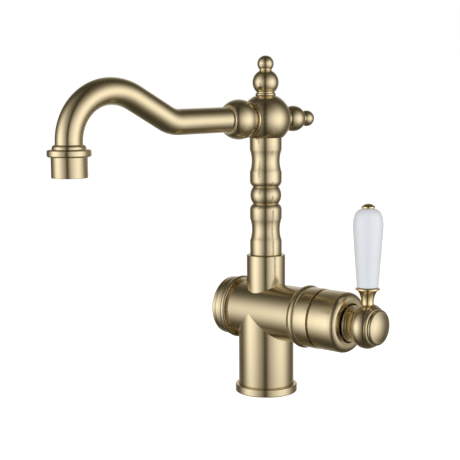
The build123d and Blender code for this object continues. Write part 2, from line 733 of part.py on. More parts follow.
def make_cartridge_rotor():
    body = rod(HOUSING_BORE_R - RUN, ROTOR_X, ROTOR_BASE_TOP) + rod(ROTOR_NECK_R, ROTOR_BASE_TOP, ROTOR_TOP)
    rotor = on_barrel(body)
    side = CARRIER_Y / 2 + CARRIER_ROOM
    low, high = -CARRIER_Z / 2 - 2 * CARRIER_ROOM, CARRIER_Z / 2 + SLIDE_TRAVEL + 2 * CARRIER_ROOM
    pocket = block((ROTOR_X - 1, CARRIER_TOP + CARRIER_ROOM), (-side, side), (low, high))
    swing = math.radians(TILT_MAX)
    half = STEM_W / 2 / math.cos(swing) + 0.2
    rear = half + STEM_REACH * math.sin(swing)
    front = half + (ROTOR_TOP - PIVOT_X) * math.tan(swing)
    cheek = STEM_W / 2 + 0.1
    slot = block((ROTOR_X - 1, ROTOR_TOP + 1), (-cheek, cheek), (-front, rear))
    return rotor - Pos(0, 0, BARREL_Z) * (pocket + slot) - pivot_bar(PIN_R + SEAT)


def pivot_bar(radius):
    """Cross bar through the tilt pivot."""
    bar = Rot(-90, 0, 0) * rod(radius, -PIN_L / 2, PIN_L / 2)
    return Pos(PIVOT_X, 0, BARREL_Z) * bar


def make_pivot_pin():
    return pivot_bar(PIN_R)


def make_moving_disc():
    disc = on_barrel(rod(MOVING_DISC_R, MOVING_DISC_X, MOVING_DISC_X + DISC_T))
    return disc - bore_x(MIX_RECESS_R, MOVING_DISC_X - 1, MOVING_DISC_X + MIX_RECESS_D, 0, MIX_RECESS_Z)


def make_disc_carrier():
    half_y, half_z = CARRIER_Y / 2, CARRIER_Z / 2
    carrier = block((CARRIER_X, CARRIER_TOP), (-half_y, half_y), (-half_z, half_z))
    room = STEM_TIP_R + 0.2
    carrier -= block((TIP_X - STEM_TIP_R - 0.3, CARRIER_TOP + 1), (-room, room), (-room, room))
    return Pos(0, 0, BARREL_Z) * carrier


def make_cartridge_stem():
    half = STEM_W / 2
    tip = Pos(TIP_X, 0, 0) * Sphere(STEM_TIP_R)
    waist_half, waist_end = STEM_WAIST_W / 2, CARRIER_TOP + STEM_WAIST_END
    waist = block((TIP_X, waist_end), (-waist_half, waist_half), (-waist_half, waist_half))
    bar = block((waist_end, KNOB_BORE_END), (-half, half), (-half, half))
    shank_half = SHANK_W / 2
    shank = block((KNOB_BORE_END, SHANK_END), (-shank_half, shank_half), (-shank_half, shank_half))
    stem = Pos(0, 0, BARREL_Z) * (tip + waist + bar + shank) - pivot_bar(PIN_R + RUN)
    return stem - bore_x(KNOB_SCREW_R + SEAT, SHANK_END - KNOB_SCREW_L + 2, SHANK_END + 1)


def screw_seat_x():
    """Face inside the knob that the fixing screw's head bears on."""
    return SHANK_END + 1.5


def make_knob_neck():
    """Flanged neck that sits on the cartridge stem and carries the knob on its spigot."""
    start, end = KNOB_BACK + SKIRT_T, screw_seat_x()
    edge = 0.3
    neck = on_barrel(turned(
        (KNOB_BORE_R, KNOB_BACK), (SKIRT_R - edge, KNOB_BACK), (SKIRT_R, KNOB_BACK + edge, 0.08),
        (SKIRT_R, start - edge), (SKIRT_R - edge, start, 0.08), (KNOB_NECK_R, start),
        (CREASE_R, CREASE_X, -0.4), (KNOB_SPIGOT_R, CREASE_X), (KNOB_SPIGOT_R, end), (0, end),
        (0, KNOB_BORE_END), (KNOB_BORE_R, KNOB_BORE_END)))
    half = SHANK_W / 2 + SEAT
    neck -= bore_x(KNOB_SCREW_R + 0.1, SHANK_END - 1, end + 1)
    socket = block((KNOB_BORE_END - 1, SHANK_END + SEAT), (-half, half), (-half, half))
    return neck - Pos(0, 0, BARREL_Z) * socket


def make_handle_knob():
    back_bow = crest(KNOB_MID_X - CREASE_X, KNOB_R - CREASE_R)
    front_bow = crest(KNOB_RIM_X - KNOB_MID_X, KNOB_R - KNOB_RIM_R)
    rim_bow = math.hypot(KNOB_FRONT_X - KNOB_RIM_X, KNOB_RIM_R - KNOB_FRONT_R) / 7
    spigot_r, head_r = KNOB_SPIGOT_R + SEAT, KNOB_SCREW_HEAD_R + 0.2
    knob = on_barrel(turned(
        (spigot_r, CREASE_X), (CREASE_R, CREASE_X), (KNOB_R, KNOB_MID_X, back_bow),
        (KNOB_RIM_R, KNOB_RIM_X, front_bow), (KNOB_FRONT_R, KNOB_FRONT_X, rim_bow),
        (KNOB_RECESS_R, KNOB_FRONT_X), (KNOB_RECESS_R, KNOB_RECESS_X), (head_r, KNOB_RECESS_X),
        (head_r, screw_seat_x()), (spigot_r, screw_seat_x())))
    knob -= rod(FERRULE_R + 0.05, BARREL_Z + FERRULE_BASE, BARREL_Z + KNOB_R + 2, (LEVER_X, 0))
    return knob - rod(ROD_R + SEAT, BARREL_Z + ROD_BOTTOM - 0.5, BARREL_Z + KNOB_R, (LEVER_X, 0))


def make_knob_cap():
    boss, face = KNOB_FRONT_X - CAP_BOSS_L, KNOB_FRONT_X + SEAT
    edge_x = KNOB_FRONT_X + DOME_BACK_T
    crown_r, crown_x = DOME_R - DOME_EDGE, edge_x + DOME_EDGE
    return on_barrel(turned(
        (0, boss), (KNOB_RECESS_R - SEAT, boss), (KNOB_RECESS_R - SEAT, face), (DOME_NECK_R, face),
        (DOME_R, edge_x, 0.2), (crown_r, crown_x, 0.6), (0, DOME_END, crest(crown_r, DOME_END - crown_x))))


def make_knob_screw():
    head_end = screw_seat_x() + KNOB_SCREW_HEAD_T
    screw = rod(KNOB_SCREW_R, SHANK_END - KNOB_SCREW_L + 2.5, screw_seat_x())
    screw += rod(KNOB_SCREW_HEAD_R, screw_seat_x(), head_end)
    socket = extrude(RegularPolygon(1.7, 6), amount=2)
    return on_barrel(screw - Pos(0, 0, head_end - 1.6) * socket)


def on_lever(solid):
    """Stand an upright solid, made from the barrel axis up, on the lever's line."""
    return Pos(LEVER_X, 0, BARREL_Z) * solid


def make_lever_rod():
    return on_lever(rod(ROD_R, ROD_BOTTOM, LEVER_TOP + LEVER_CAP_H - 1.4))


def make_lever_ferrule():
    lip = FERRULE_TOP - 1.6
    return on_lever(turned(
        (ROD_R + SEAT, FERRULE_BASE), (FERRULE_R, FERRULE_BASE), (FERRULE_R, FERRULE_BASE + 2.0),
        (FERRULE_LIP_R - 2.0, lip - 1.2, -0.7), (FERRULE_LIP_R - 0.5, lip, -0.2),
        (FERRULE_LIP_R, lip + 0.5, 0.15), (FERRULE_LIP_R, FERRULE_TOP - 0.5),
        (FERRULE_LIP_R - 0.5, FERRULE_TOP, 0.15), (ROD_R + SEAT, FERRULE_TOP)))


def make_lever_washer(height):
    return on_lever(sleeve(LEVER_SHOULDER_R - 1.4, ROD_R + 0.1, height, height + WASHER_T))


def make_porcelain_lever():
    foot = FERRULE_TOP + WASHER_T
    belly_bow = crest(LEVER_NECK_H - LEVER_BELLY_H, LEVER_BELLY_R - LEVER_NECK_R)
    return on_lever(turned(
        (LEVER_BORE_R, foot), (LEVER_FOOT_R - 0.5, foot), (LEVER_FOOT_R, foot + 0.6, 0.15),
        (LEVER_BELLY_R, LEVER_BELLY_H, 0.1), (LEVER_NECK_R, LEVER_NECK_H, belly_bow),
        (LEVER_SHOULDER_R, LEVER_TOP, LEVER_SHOULDER_BOW), (LEVER_BORE_R, LEVER_TOP)))


def make_lever_cap():
    low = LEVER_TOP + WASHER_T
    return on_lever(turned(
        (ROD_R + SEAT, low), (LEVER_CAP_R - 0.3, low), (LEVER_CAP_R, low + 0.3, 0.08),
        (LEVER_CAP_R, low + 1.2), (0, low + LEVER_CAP_H, crest(LEVER_CAP_R, LEVER_CAP_H - 1.2)),
        (0, low + LEVER_CAP_H - 1.2),
        (ROD_R + SEAT, low + LEVER_CAP_H - 1.2)))


PARTS = {
    "stem": make_stem,
    "body_casting": make_body_casting,
    "neck": make_neck,
    "base_ring": make_base_ring,
    "base_seal": make_base_seal,
    "rear_end_cap": make_rear_end_cap,
    "rear_cap_seal": make_rear_cap_seal,
    "neck_bush_lower": lambda: make_neck_bush(NECK_SOCKET),
    "neck_bush_upper": lambda: make_neck_bush(NECK_TOP - BUSH_H),
    "swivel_retaining_screw": make_retaining_screw,
    "cartridge_base": make_cartridge_base,
    "cartridge_seals": make_cartridge_seals,
    "fixed_ceramic_disc": make_fixed_disc,
    "cartridge_housing": make_cartridge_housing,
    "cartridge_nut": make_cartridge_nut,
    "handle_cover": make_handle_cover,
    "cover_front_ring": make_cover_front_ring,
    "spout_column": make_column,
    "swivel_seals": make_swivel_seals,
    "spout_hub": make_hub,
    "top_finial": make_top_finial,
    "rear_finial": make_rear_finial,
    "spout_collar": make_spout_collar,
    "spout_tube": make_spout_tube,
    "nozzle": make_nozzle,
    "aerator_insert": make_aerator_insert,
    "aerator_screen": make_aerator_screen,
    "aerator_filter": make_aerator_filter,
    "aerator_gasket": make_aerator_gasket,
    "cartridge_rotor": make_cartridge_rotor,
    "pivot_pin": make_pivot_pin,
    "moving_ceramic_disc": make_moving_disc,
    "disc_carrier": make_disc_carrier,
    "cartridge_stem": make_cartridge_stem,
    "knob_neck": make_knob_neck,
    "handle_knob": make_handle_knob,
    "knob_cap": make_knob_cap,
    "knob_screw": make_knob_screw,
    "lever_rod": make_lever_rod,
    "lever_ferrule": make_lever_ferrule,
    "lever_washer_lower": lambda: make_lever_washer(FERRULE_TOP),
    "lever_washer_upper": lambda: make_lever_washer(LEVER_TOP),
    "porcelain_lever": make_porcelain_lever,
    "lever_cap": make_lever_cap,
}

if __name__ == "__main__":
    os.makedirs("parts", exist_ok=True)
    for name, make in PARTS.items():
        export_step(make(), f"parts/{name}.step")
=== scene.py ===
"""Looks of a high-rise basin mixer tap in satin brass with a white porcelain lever."""

import json
import math

import bmesh
import bpy
from mathutils import Matrix, Vector


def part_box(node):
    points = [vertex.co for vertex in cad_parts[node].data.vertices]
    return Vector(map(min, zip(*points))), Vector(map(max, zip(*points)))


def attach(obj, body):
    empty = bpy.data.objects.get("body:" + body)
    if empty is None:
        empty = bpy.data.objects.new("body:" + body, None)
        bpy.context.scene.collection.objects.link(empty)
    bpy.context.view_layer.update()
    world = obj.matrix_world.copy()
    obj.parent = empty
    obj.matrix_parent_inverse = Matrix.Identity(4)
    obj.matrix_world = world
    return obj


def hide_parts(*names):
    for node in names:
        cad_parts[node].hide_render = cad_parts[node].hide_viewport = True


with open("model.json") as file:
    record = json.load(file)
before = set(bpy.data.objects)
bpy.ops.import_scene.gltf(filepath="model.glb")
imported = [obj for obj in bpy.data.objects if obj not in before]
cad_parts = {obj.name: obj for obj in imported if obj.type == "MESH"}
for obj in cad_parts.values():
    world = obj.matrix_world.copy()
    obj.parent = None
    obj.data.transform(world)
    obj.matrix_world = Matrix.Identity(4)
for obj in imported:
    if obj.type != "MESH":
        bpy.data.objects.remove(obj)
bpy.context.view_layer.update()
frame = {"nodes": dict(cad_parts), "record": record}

bl_info = {
    "name": "High-rise basin mixer tap",
    "version": (1, 0, 0),
    "blender": (4, 5, 0),
    "location": "View3D > Sidebar > Tap",
    "description": "Builds the finished surfaces and the studio of a high-rise basin mixer tap",
    "category": "Add Mesh",
}

# Metres in a millimetre, and degrees in a radian.
MM = 0.001
DEGREES = 180 / math.pi

WHITE = (1.0, 1.0, 1.0, 1.0)

# Material slot of each node of the frame.
RECORD_SLOTS = {entry["node"]: entry["material_slot"] for entry in frame["record"]["subparts"]}

# How finely the pieces are turned and bent, and which corners are eased or stay sharp.
TURN_SEGMENTS = 144
ARC_STEP = math.radians(4)
BEND_STEP = math.radians(2)
EASE_FROM = math.radians(20)
EASE_STEPS = 4
EASE_SHARE = 0.45
CUTTER_EASE = 0.01
SHARP_FROM = math.radians(34)
ON_AXIS = 1e-6
WELD_DISTANCE = 1e-6
SLIVER_LENGTH = 1e-7

# Radius of the ring that the brushing's coordinates run round, in metres.
LAY_RADIUS = 0.012

# Bow of a quarter circle whose radius is 1.
QUARTER_BOW = 1 - math.sqrt(0.5)

# Stem and column, in millimetres; levels are measured from the deck.
STEM_STEP = 2.4
STEM_SEAT = 1.5
SADDLE_LAP = 0.2
NECK_BORE_R = 12.6
NECK_BORE_DEPTH = 4
SWIVEL_R = 11.1
SWIVEL_DEPTH = 3
SWIVEL_GAP = 0.05
LOW_WAIST = (133.2, 152.6)
LOW_GROOVE = 165.2
HIGH_GROOVE = 179.9
HIGH_WAIST = (192.6, 211.8)
WAIST_R = 12.1
GROOVE_R = 11.0
BEAD_R = 13.45
FLANK = 5.0
HUB_HEIGHT = 237.8

# Barrel, in millimetres; places are measured from the column's axis. TRIM is start, end and
# radius, NOSE and SPIGOT are radius and end, CAP_RING and CAP_GROOVE are radius and width.
REAR_END = -26.0
TRIM = (43.2, 48.5, 26.5)
TRIM_STEP = 2.8
NOSE = (25.4, 63.0)
SPIGOT = (22.9, 82.6)
GAP_EASE = 0.9
CHAMBER_R = 20.75
CHAMBER_FLOOR = 70.0
CAP_RING = (27.4, 4.6)
CAP_GROOVE = (25.2, 2.4)
CAP_RIM_R = 25.6
CAP_DISH = 1.2
COVER_WALL = 2.1
SEAM_EASE = 0.08
MOUTH_R = 16.0
MOUTH_EDGE = 0.8
LEVER_X = 105.9

# Hub and spout, in millimetres from the hub's centre along each piece's own axis. COLLAR_BALL
# is centre and radius.
HUB_FOOT = 15.7
FINIAL_SEAT = 19.6
COLLAR_SEAT = 16.2
COLLAR_BALL = (29.6, 16.9)
COLLAR_END = 41.0

# Centre line of the spout tube: it droops to the dip, rises straight and turns down in the crook.
TUBE_START = 25.0
DROOP = math.radians(1.25)
DIP_X = 90.9
DIP_BEND_R = 26.9
RISE = math.radians(28.7)
RISE_RUN = 33.6
CROOK_IN_R = 42.3
CROOK_OUT_R = 37.9

# Finishes inside the tap: two tones, roughness, fineness of the grain and share of metal.
INNER_FINISHES = {
    "raw_brass": ((0.70, 0.55, 0.30), (0.60, 0.45, 0.22), 0.3, 900.0, 1.0),
    "disc_ceramic": ((0.86, 0.85, 0.81), (0.80, 0.79, 0.75), 0.25, 600.0, 0.0),
    "seal_rubber": ((0.02, 0.02, 0.02), (0.035, 0.035, 0.035), 0.6, 700.0, 0.0),
    "white_plastic": ((0.74, 0.74, 0.72), (0.68, 0.68, 0.66), 0.42, 500.0, 0.0),
    # The cartridge's plastic parts are real, but their near-black tone is painted shade for the
    # hollow inside the cover's mouth.
    "dark_plastic": ((0.02, 0.02, 0.022), (0.03, 0.03, 0.03), 0.45, 500.0, 0.0),
    "stainless_steel": ((0.58, 0.57, 0.55), (0.5, 0.49, 0.47), 0.28, 1200.0, 1.0),
}

# Camera: lens and sensor in millimetres, place in metres, and the angles of its aim.
CAMERA_LENS = 82.62
CAMERA_SENSOR = 36.0
CAMERA_DISTANCE = 0.91018
CAMERA_HEIGHT = 0.25183
CAMERA_AZIMUTH = math.radians(39.397)
CAMERA_YAW = math.radians(-1.961)
CAMERA_PITCH = math.radians(6.87)
CAMERA_ROLL = math.radians(-0.367)

# Floor and world. The floor's glow and the world's white are seen, but light nothing.
FLOOR_WIDTH = 60.0
FLOOR_COLOUR = (0.80, 0.80, 0.80)
FLOOR_GLOW = 0.70
WORLD_LIGHT = 0.54

# Soft lamps: azimuth in degrees to the camera's right, and brightness; then sizes in metres.
SOFTBOXES = (("left_softbox", -56, 1.30), ("right_softbox", 51, 1.22))
SOFTBOX_DISTANCE = 0.9
SOFTBOX_HEIGHT = 0.25
SOFTBOX_WIDTH = 1.56
SOFTBOX_TALL = 0.66

# Lights on the dome, in degrees round it: middle, and fade on its left and on its right.
DOME_RADIUS = 8.0
DOME_SEGMENTS = 64
DOME_RINGS = 32
LEFT_LIGHT = (-68, 21, 27)
RIGHT_LIGHT = (66, 40, 25)
BACK_FADE = 20
DARK_STRIP = (-3, 7)
LIGHT_LEVEL = (1, 27)
LEFT_GLOW = 1.62
RIGHT_GLOW = 1.54
BACK_GLOW = 0.8
DOME_AMBIENT = 0.07
WARM_TINT = (1.0, 0.90, 0.66)
WHITENING = 1.4

# Sockets of a Mix node that mixes colours.
MIX_SHARE, MIX_FIRST, MIX_SECOND, MIX_RESULT = 0, 6, 7, 2


def top_of(node):
    """Highest level of a node, in millimetres."""
    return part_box(node)[1].z / MM


def foot_of(node):
    """Lowest level of a node, in millimetres."""
    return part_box(node)[0].z / MM


def middle_height(node):
    """Level of a node's middle, in millimetres."""
    return (foot_of(node) + top_of(node)) / 2


def half_width(node):
    """Half of a node's width across the barrel, in millimetres."""
    low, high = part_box(node)
    return (high.y - low.y) / 2 / MM


def ends_along_barrel(node):
    """Where a node starts and ends along the barrel, in millimetres."""
    low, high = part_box(node)
    return low.x / MM, high.x / MM


def ends_on_lever(node, sizes):
    """Where a node starts and ends above the barrel's axis, in millimetres."""
    return foot_of(node) - sizes.barrel_height, top_of(node) - sizes.barrel_height


def length_prop(name, description, default):
    """A length in millimetres that the user may change."""
    return bpy.props.FloatProperty(name=name, description=f"{description}, in millimetres",
                                   default=default, precision=2)


def angle_prop(name, description, degrees):
    """An angle that the user may change."""
    return bpy.props.FloatProperty(name=name, description=description,
                                   default=math.radians(degrees), subtype="ANGLE")


def colour_prop(name, description, default):
    """A colour that the user may change."""
    return bpy.props.FloatVectorProperty(name=name, description=description, default=default,
                                         subtype="COLOR", size=3, min=0, max=1)


def share_prop(name, description, default):
    """A number from 0 to 1 that the user may change."""
    return bpy.props.FloatProperty(name=name, description=description, default=default,
                                   subtype="FACTOR", min=0, max=1)


class TapFinish(bpy.types.PropertyGroup):
    """Colours and gloss of the tap's surfaces."""
    brass: colour_prop("Satin brass", "Colour of the brushed brass", (0.67, 0.565, 0.37))
    brass_deep: colour_prop("Deep brass", "Darker tone that clouds the brushed brass",
                            (0.61, 0.505, 0.315))
    polished: colour_prop("Polished brass", "Colour of the ferrule and the lever cap",
                          (0.84, 0.68, 0.38))
    porcelain: colour_prop("Porcelain", "Colour of the lever's glaze", (0.82, 0.85, 0.89))
    brass_roughness: share_prop("Brass roughness", "Roughness of the brushed brass", 0.22)
    polished_roughness: share_prop("Polished roughness", "Roughness of the polished brass", 0.14)


class TapSizes(bpy.types.PropertyGroup):
    """Main sizes of the tap."""
    stem_radius: length_prop("Stem radius", "Outer radius of the stem", 24.0)
    base_radius: length_prop("Base radius", "Outer radius of the base ring",
                             half_width("base_ring"))
    base_height: length_prop("Base height", "Height of the base ring", top_of("base_ring"))
    barrel_height: length_prop("Barrel height", "Level of the barrel's axis",
                               middle_height("handle_cover"))
    barrel_radius: length_prop("Barrel radius", "Outer radius of the barrel", 24.0)
    neck_radius: length_prop("Neck radius", "Outer radius of the neck", 16.8)
    neck_top: length_prop("Neck top", "Level of the neck's top", top_of("neck"))
    column_radius: length_prop("Column radius", "Largest radius of the column",
                               half_width("spout_column"))
    hub_radius: length_prop("Hub radius", "Radius of the hub ball", 21.8)
    tube_radius: length_prop("Tube radius", "Outer radius of the spout tube", 10.6)
    spout_swing: angle_prop("Spout swing", "Angle of the spout from straight ahead", -10.5)


class Wire:
    """An output socket that takes part in Python expressions."""

    def __init__(self, graph, socket):
        self.graph = graph
        self.socket = socket

    def maths(self, operation, *others):
        """Math node on this wire, then on any others."""
        return self.graph.maths(operation, self, *others)

    def __add__(self, other):
        return self.maths("ADD", other)

    def __sub__(self, other):
        return self.maths("SUBTRACT", other)

    def __rsub__(self, other):
        return self.graph.maths("SUBTRACT", other, self)

    def __mul__(self, other):
        return self.maths("MULTIPLY", other)

    def __truediv__(self, other):
        return self.maths("DIVIDE", other)

    __radd__ = __add__
    __rmul__ = __mul__


class Graph:
    """A node tree that is filled from Python."""

    def __init__(self, tree):
        self.tree = tree

    def node(self, kind, settings=None, values=None, out=0):
        """Add a node, set its settings, fill or link its inputs, and give one of its outputs."""
        made = self.tree.nodes.new(kind)
        for key, value in (settings or {}).items():
            setattr(made, key, value)
        for key, value in (values or {}).items():
            if isinstance(value, Wire):
                self.tree.links.new(value.socket, made.inputs[key])
            else:
                made.inputs[key].default_value = value
        return Wire(self, made.outputs[out]) if made.outputs else made

    def maths(self, operation, *values):
        """Math node on values or wires."""
        return self.node("ShaderNodeMath", {"operation": operation}, dict(enumerate(values)))

    def other(self, wire, name):
        """Another output of the node that a wire comes from."""
        return Wire(self, wire.socket.node.outputs[name])


def new_tree(name, **inputs):
    """Geometry tree with named inputs, and the graph that fills it."""
    tree = bpy.data.node_groups.new(name, "GeometryNodeTree")
    for key, kind in inputs.items():
        tree.interface.new_socket(key, in_out="INPUT", socket_type=f"NodeSocket{kind}")
    tree.interface.new_socket("Piece", in_out="OUTPUT", socket_type="NodeSocketGeometry")
    return tree, Graph(tree)


def stored(graph, geometry, name, value, kind="FLOAT_VECTOR"):
    """Geometry that keeps a value on its points under a name."""
    return graph.node("GeometryNodeStoreNamedAttribute", {"data_type": kind, "domain": "POINT"},
                      {"Geometry": geometry, "Name": name, "Value": value})


def recalled(graph, name, kind="FLOAT_VECTOR"):
    """Value that points keep under a name."""
    return graph.node("GeometryNodeInputNamedAttribute", {"data_type": kind}, {"Name": name})


def end_tree(graph, geometry, finish):
    """Make a tree's geometry real, give it its material and put it out."""
    single = graph.node("GeometryNodeRealizeInstances", {}, {"Geometry": geometry})
    dressed = graph.node("GeometryNodeSetMaterial", {}, {"Geometry": single, "Material": finish})
    graph.node("NodeGroupOutput", {}, {0: dressed})


def turning_tree():
    """Geometry nodes that turn an outline into a solid of revolution about Z."""
    tree, graph = new_tree("Turned piece", Outline="Geometry", Segments="Int", Finish="Material")
    outline = graph.node("NodeGroupInput")
    count = graph.other(outline, "Segments")
    around = count + 1
    points = graph.node("GeometryNodeAttributeDomainSize", {}, {0: outline})
    grid = graph.node("GeometryNodeMeshGrid", {}, {"Vertices X": points, "Vertices Y": around})
    index = graph.node("GeometryNodeInputIndex")
    # The half keeps rounding from giving a point to the column before its own.
    column = ((index + 0.5) / around).maths("FLOOR")
    angle = (index - column * around) / count * math.tau
    place = graph.node("GeometryNodeInputPosition")
    spot = graph.node("GeometryNodeSampleIndex", {"data_type": "FLOAT_VECTOR"},
                      {0: outline, 1: place, 2: column})
    along = graph.node("GeometryNodeSampleIndex", {"data_type": "FLOAT"},
                       {0: outline, 1: recalled(graph, "run", "FLOAT"), 2: column})
    turned = graph.node("ShaderNodeVectorRotate", {"rotation_type": "Z_AXIS"},
                        {"Vector": spot, "Angle": angle})
    moved = graph.node("GeometryNodeSetPosition", {}, {"Geometry": grid, "Position": turned})
    lay = graph.node("ShaderNodeCombineXYZ", {}, {
        0: along, 1: angle.maths("COSINE") * LAY_RADIUS, 2: angle.maths("SINE") * LAY_RADIUS})
    closed = graph.node("GeometryNodeMergeByDistance", {}, {
        "Geometry": stored(graph, moved, "lay", lay), "Distance": WELD_DISTANCE})
    end_tree(graph, closed, graph.other(outline, "Finish"))
    return tree


def tube_tree():
    """Geometry nodes that sweep a round tube along a curve."""
    tree, graph = new_tree("Bent tube", Route="Geometry", Radius="Float", Finish="Material")
    route = graph.node("NodeGroupInput")
    ring = graph.node("GeometryNodeCurvePrimitiveCircle", {"mode": "RADIUS"},
                      {"Resolution": TURN_SEGMENTS, "Radius": graph.other(route, "Radius")})
    length = graph.node("GeometryNodeSplineParameter", {}, {}, "Length")
    place = graph.node("GeometryNodeInputPosition")
    swept = graph.node("GeometryNodeCurveToMesh", {}, {
        "Curve": stored(graph, route, "run", length, "FLOAT"),
        "Profile Curve": stored(graph, ring, "around", place)})
    sides = graph.node("ShaderNodeSeparateXYZ", {}, {0: recalled(graph, "around")})
    lay = graph.node("ShaderNodeCombineXYZ", {}, {
        0: recalled(graph, "run", "FLOAT"), 1: sides, 2: graph.other(sides, "Y")})
    end_tree(graph, stored(graph, swept, "lay", lay), graph.other(route, "Finish"))
    return tree


def bowed(start, end):
    """Points after one corner up to the next, along an arc with the next corner's bow."""
    a, b, bow = Vector(start[:2]), Vector(end[:2]), end[2]
    if not bow:
        return [b]
    chord = b - a
    half = chord.length / 2
    side = 1 if bow > 0 else -1
    radius = (half ** 2 + bow ** 2) / (2 * abs(bow))
    away = Vector((chord.y, -chord.x)).normalized() * side
    centre = (a + b) / 2 + away * (abs(bow) - radius)
    first, last = a - centre, b - centre
    sweep = 2 * math.asin(min(1, half / radius))
    if abs(bow) > radius:
        sweep = math.tau - sweep
    steps = max(2, math.ceil(sweep / ARC_STEP))
    turn = sweep / steps * side
    points = []
    for i in range(1, steps):
        c, s = math.cos(turn * i), math.sin(turn * i)
        points.append(centre + Vector((first.x * c - first.y * s, first.x * s + first.y * c)))
    return points + [centre + last]


def eased(points, radius, closed):
    """The same line with its corners rounded by small arcs."""
    count = len(points)
    result = []
    for i, here in enumerate(points):
        if not closed and i in (0, count - 1):
            result.append(here)
            continue
        before, after = points[i - 1] - here, points[(i + 1) % count] - here
        bend = math.pi - before.angle(after)
        if bend < EASE_FROM or here.x < ON_AXIS:
            result.append(here)
            continue
        longest = min(before.length, after.length) * EASE_SHARE
        reach = min(radius * math.tan(bend / 2), longest)
        first, last = here + before.normalized() * reach, here + after.normalized() * reach
        for k in range(EASE_STEPS + 1):
            t = k / EASE_STEPS
            result.append(first * (1 - t) ** 2 + here * 2 * t * (1 - t) + last * t ** 2)
    return result


def outline_mesh(name, corners, ease, closed):
    """Mesh line through (radius, height, bow) corners in millimetres.

    The bow is how far the line to a corner arches to its right, and may be left out.
    """
    corners = [(*corner, 0)[:3] for corner in corners]
    path = corners + corners[:1] if closed else corners
    points = [Vector(path[0][:2])]
    for start, end in zip(path, path[1:]):
        points += bowed(start, end)
    if closed:
        points.pop()
    points = eased(points, ease, closed)
    if closed:
        points.append(points[0].copy())
    mesh = bpy.data.meshes.new(name)
    mesh.from_pydata([(p.x * MM, 0, p.y * MM) for p in points],
                     [(i, i + 1) for i in range(len(points) - 1)], [])
    runs = [0.0]
    for a, b in zip(points, points[1:]):
        runs.append(runs[-1] + (b - a).length * MM)
    mesh.attributes.new("run", "FLOAT", "POINT").data.foreach_set("value", runs)
    return mesh


def crest(run, rise):
    """Bow of an arc that climbs a rise over a run and is level at the top."""
    radius = (run ** 2 + rise ** 2) / (2 * rise)
    return radius - math.sqrt(radius ** 2 - (run ** 2 + rise ** 2) / 4)


def ball_slice(radius, offset):
    """Radius of a ball's slice at an offset from its centre, or the offset of such a slice."""
    return math.sqrt(radius ** 2 - offset ** 2)


def ball_bow(radius, start, end):
    """Bow of a ball's outline between two of its points, given as (radius, height)."""
    return radius - ball_slice(radius, math.hypot(end[0] - start[0], end[1] - start[1]) / 2)


def put_in_scene(name, data):
    """New object of the scene."""
    made = bpy.data.objects.new(name, data)
    bpy.context.scene.collection.objects.link(made)
    return made


def evaluated_mesh(source):
    """Plain mesh of an object as its modifiers leave it."""
    bpy.context.view_layer.update()
    graph = bpy.context.evaluated_depsgraph_get()
    return bpy.data.meshes.new_from_object(source.evaluated_get(graph),
                                           preserve_all_data_layers=True, depsgraph=graph)


def with_tree(name, data, tree, **inputs):
    """Plain mesh that a geometry tree makes of some data."""
    source = put_in_scene(name, data)
    modifier = source.modifiers.new("tree", "NODES")
    modifier.node_group = tree
    for socket in tree.interface.items_tree:
        if socket.name in inputs:
            modifier[socket.identifier] = inputs[socket.name]
    mesh = evaluated_mesh(source)
    bpy.data.objects.remove(source)
    return mesh


def shaded(mesh):
    """Smooth a mesh except at its sharp edges."""
    mesh.shade_smooth()
    mesh.set_sharp_from_angle(angle=SHARP_FROM)


def outward(mesh):
    """Point a closed mesh's faces outwards."""
    work = bmesh.new()
    work.from_mesh(mesh)
    bmesh.ops.dissolve_degenerate(work, dist=SLIVER_LENGTH, edges=work.edges)
    bmesh.ops.recalc_face_normals(work, faces=work.faces)
    work.to_mesh(mesh)
    work.free()
    shaded(mesh)


def turned_mesh(name, corners, place, slot="satin_brass", ease=0.35, closed=False):
    """Solid of revolution from an outline, moved to its place."""
    tree = bpy.data.node_groups.get("Turned piece") or turning_tree()
    mesh = with_tree(name, outline_mesh(name, corners, ease, closed), tree,
                     Segments=TURN_SEGMENTS, Finish=finish_of(slot))
    outward(mesh)
    mesh.transform(place)
    mesh.name = name
    return mesh


def without(name, mesh, cutter):
    """A closed mesh with another one cut out of it."""
    pair = put_in_scene(name, mesh), put_in_scene("cutter", cutter)
    cut = pair[0].modifiers.new("cut", "BOOLEAN")
    cut.operation = "DIFFERENCE"
    cut.solver = "EXACT"
    cut.object = pair[1]
    result = evaluated_mesh(pair[0])
    for item in pair:
        bpy.data.objects.remove(item)
    shaded(result)
    result.name = name
    return result


def add_piece(name, node, body, mesh):
    """Put a finished mesh in the scene in place of the node that it stands for."""
    piece = put_in_scene(name, mesh)
    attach(piece, body)
    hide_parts(node)


def add_turned(name, node, body, place, corners, slot="satin_brass", **shape):
    """Turn a piece and put it in the scene in place of a node."""
    add_piece(name, node, body, turned_mesh(name, corners, place, slot, **shape))


def upright():
    """Place of a piece that stands on the column's axis."""
    return Matrix.Identity(4)


def along_barrel(sizes):
    """Place of a piece whose height runs along the barrel."""
    lift = Matrix.Translation((0, 0, sizes.barrel_height * MM))
    return lift @ Matrix.Rotation(math.radians(90), 4, "Y")


def on_lever(sizes):
    """Place of a piece that stands on the lever's line, measured from the barrel's axis."""
    return Matrix.Translation((LEVER_X * MM, 0, sizes.barrel_height * MM))


def swung(sizes):
    """Turn of the spout about the column."""
    return Matrix.Rotation(sizes.spout_swing, 4, "Z")


def at_hub(sizes, tilt):
    """Place of a piece whose height starts at the hub's centre, tilted by so many degrees."""
    lift = Matrix.Translation((0, 0, HUB_HEIGHT * MM))
    return swung(sizes) @ lift @ Matrix.Rotation(math.radians(tilt), 4, "X")


def at_nozzle(sizes):
    """Place of a piece on the axis of the spout's end."""
    reach = spout_points()[-1][0]
    return swung(sizes) @ Matrix.Translation((0, -reach * MM, 0))


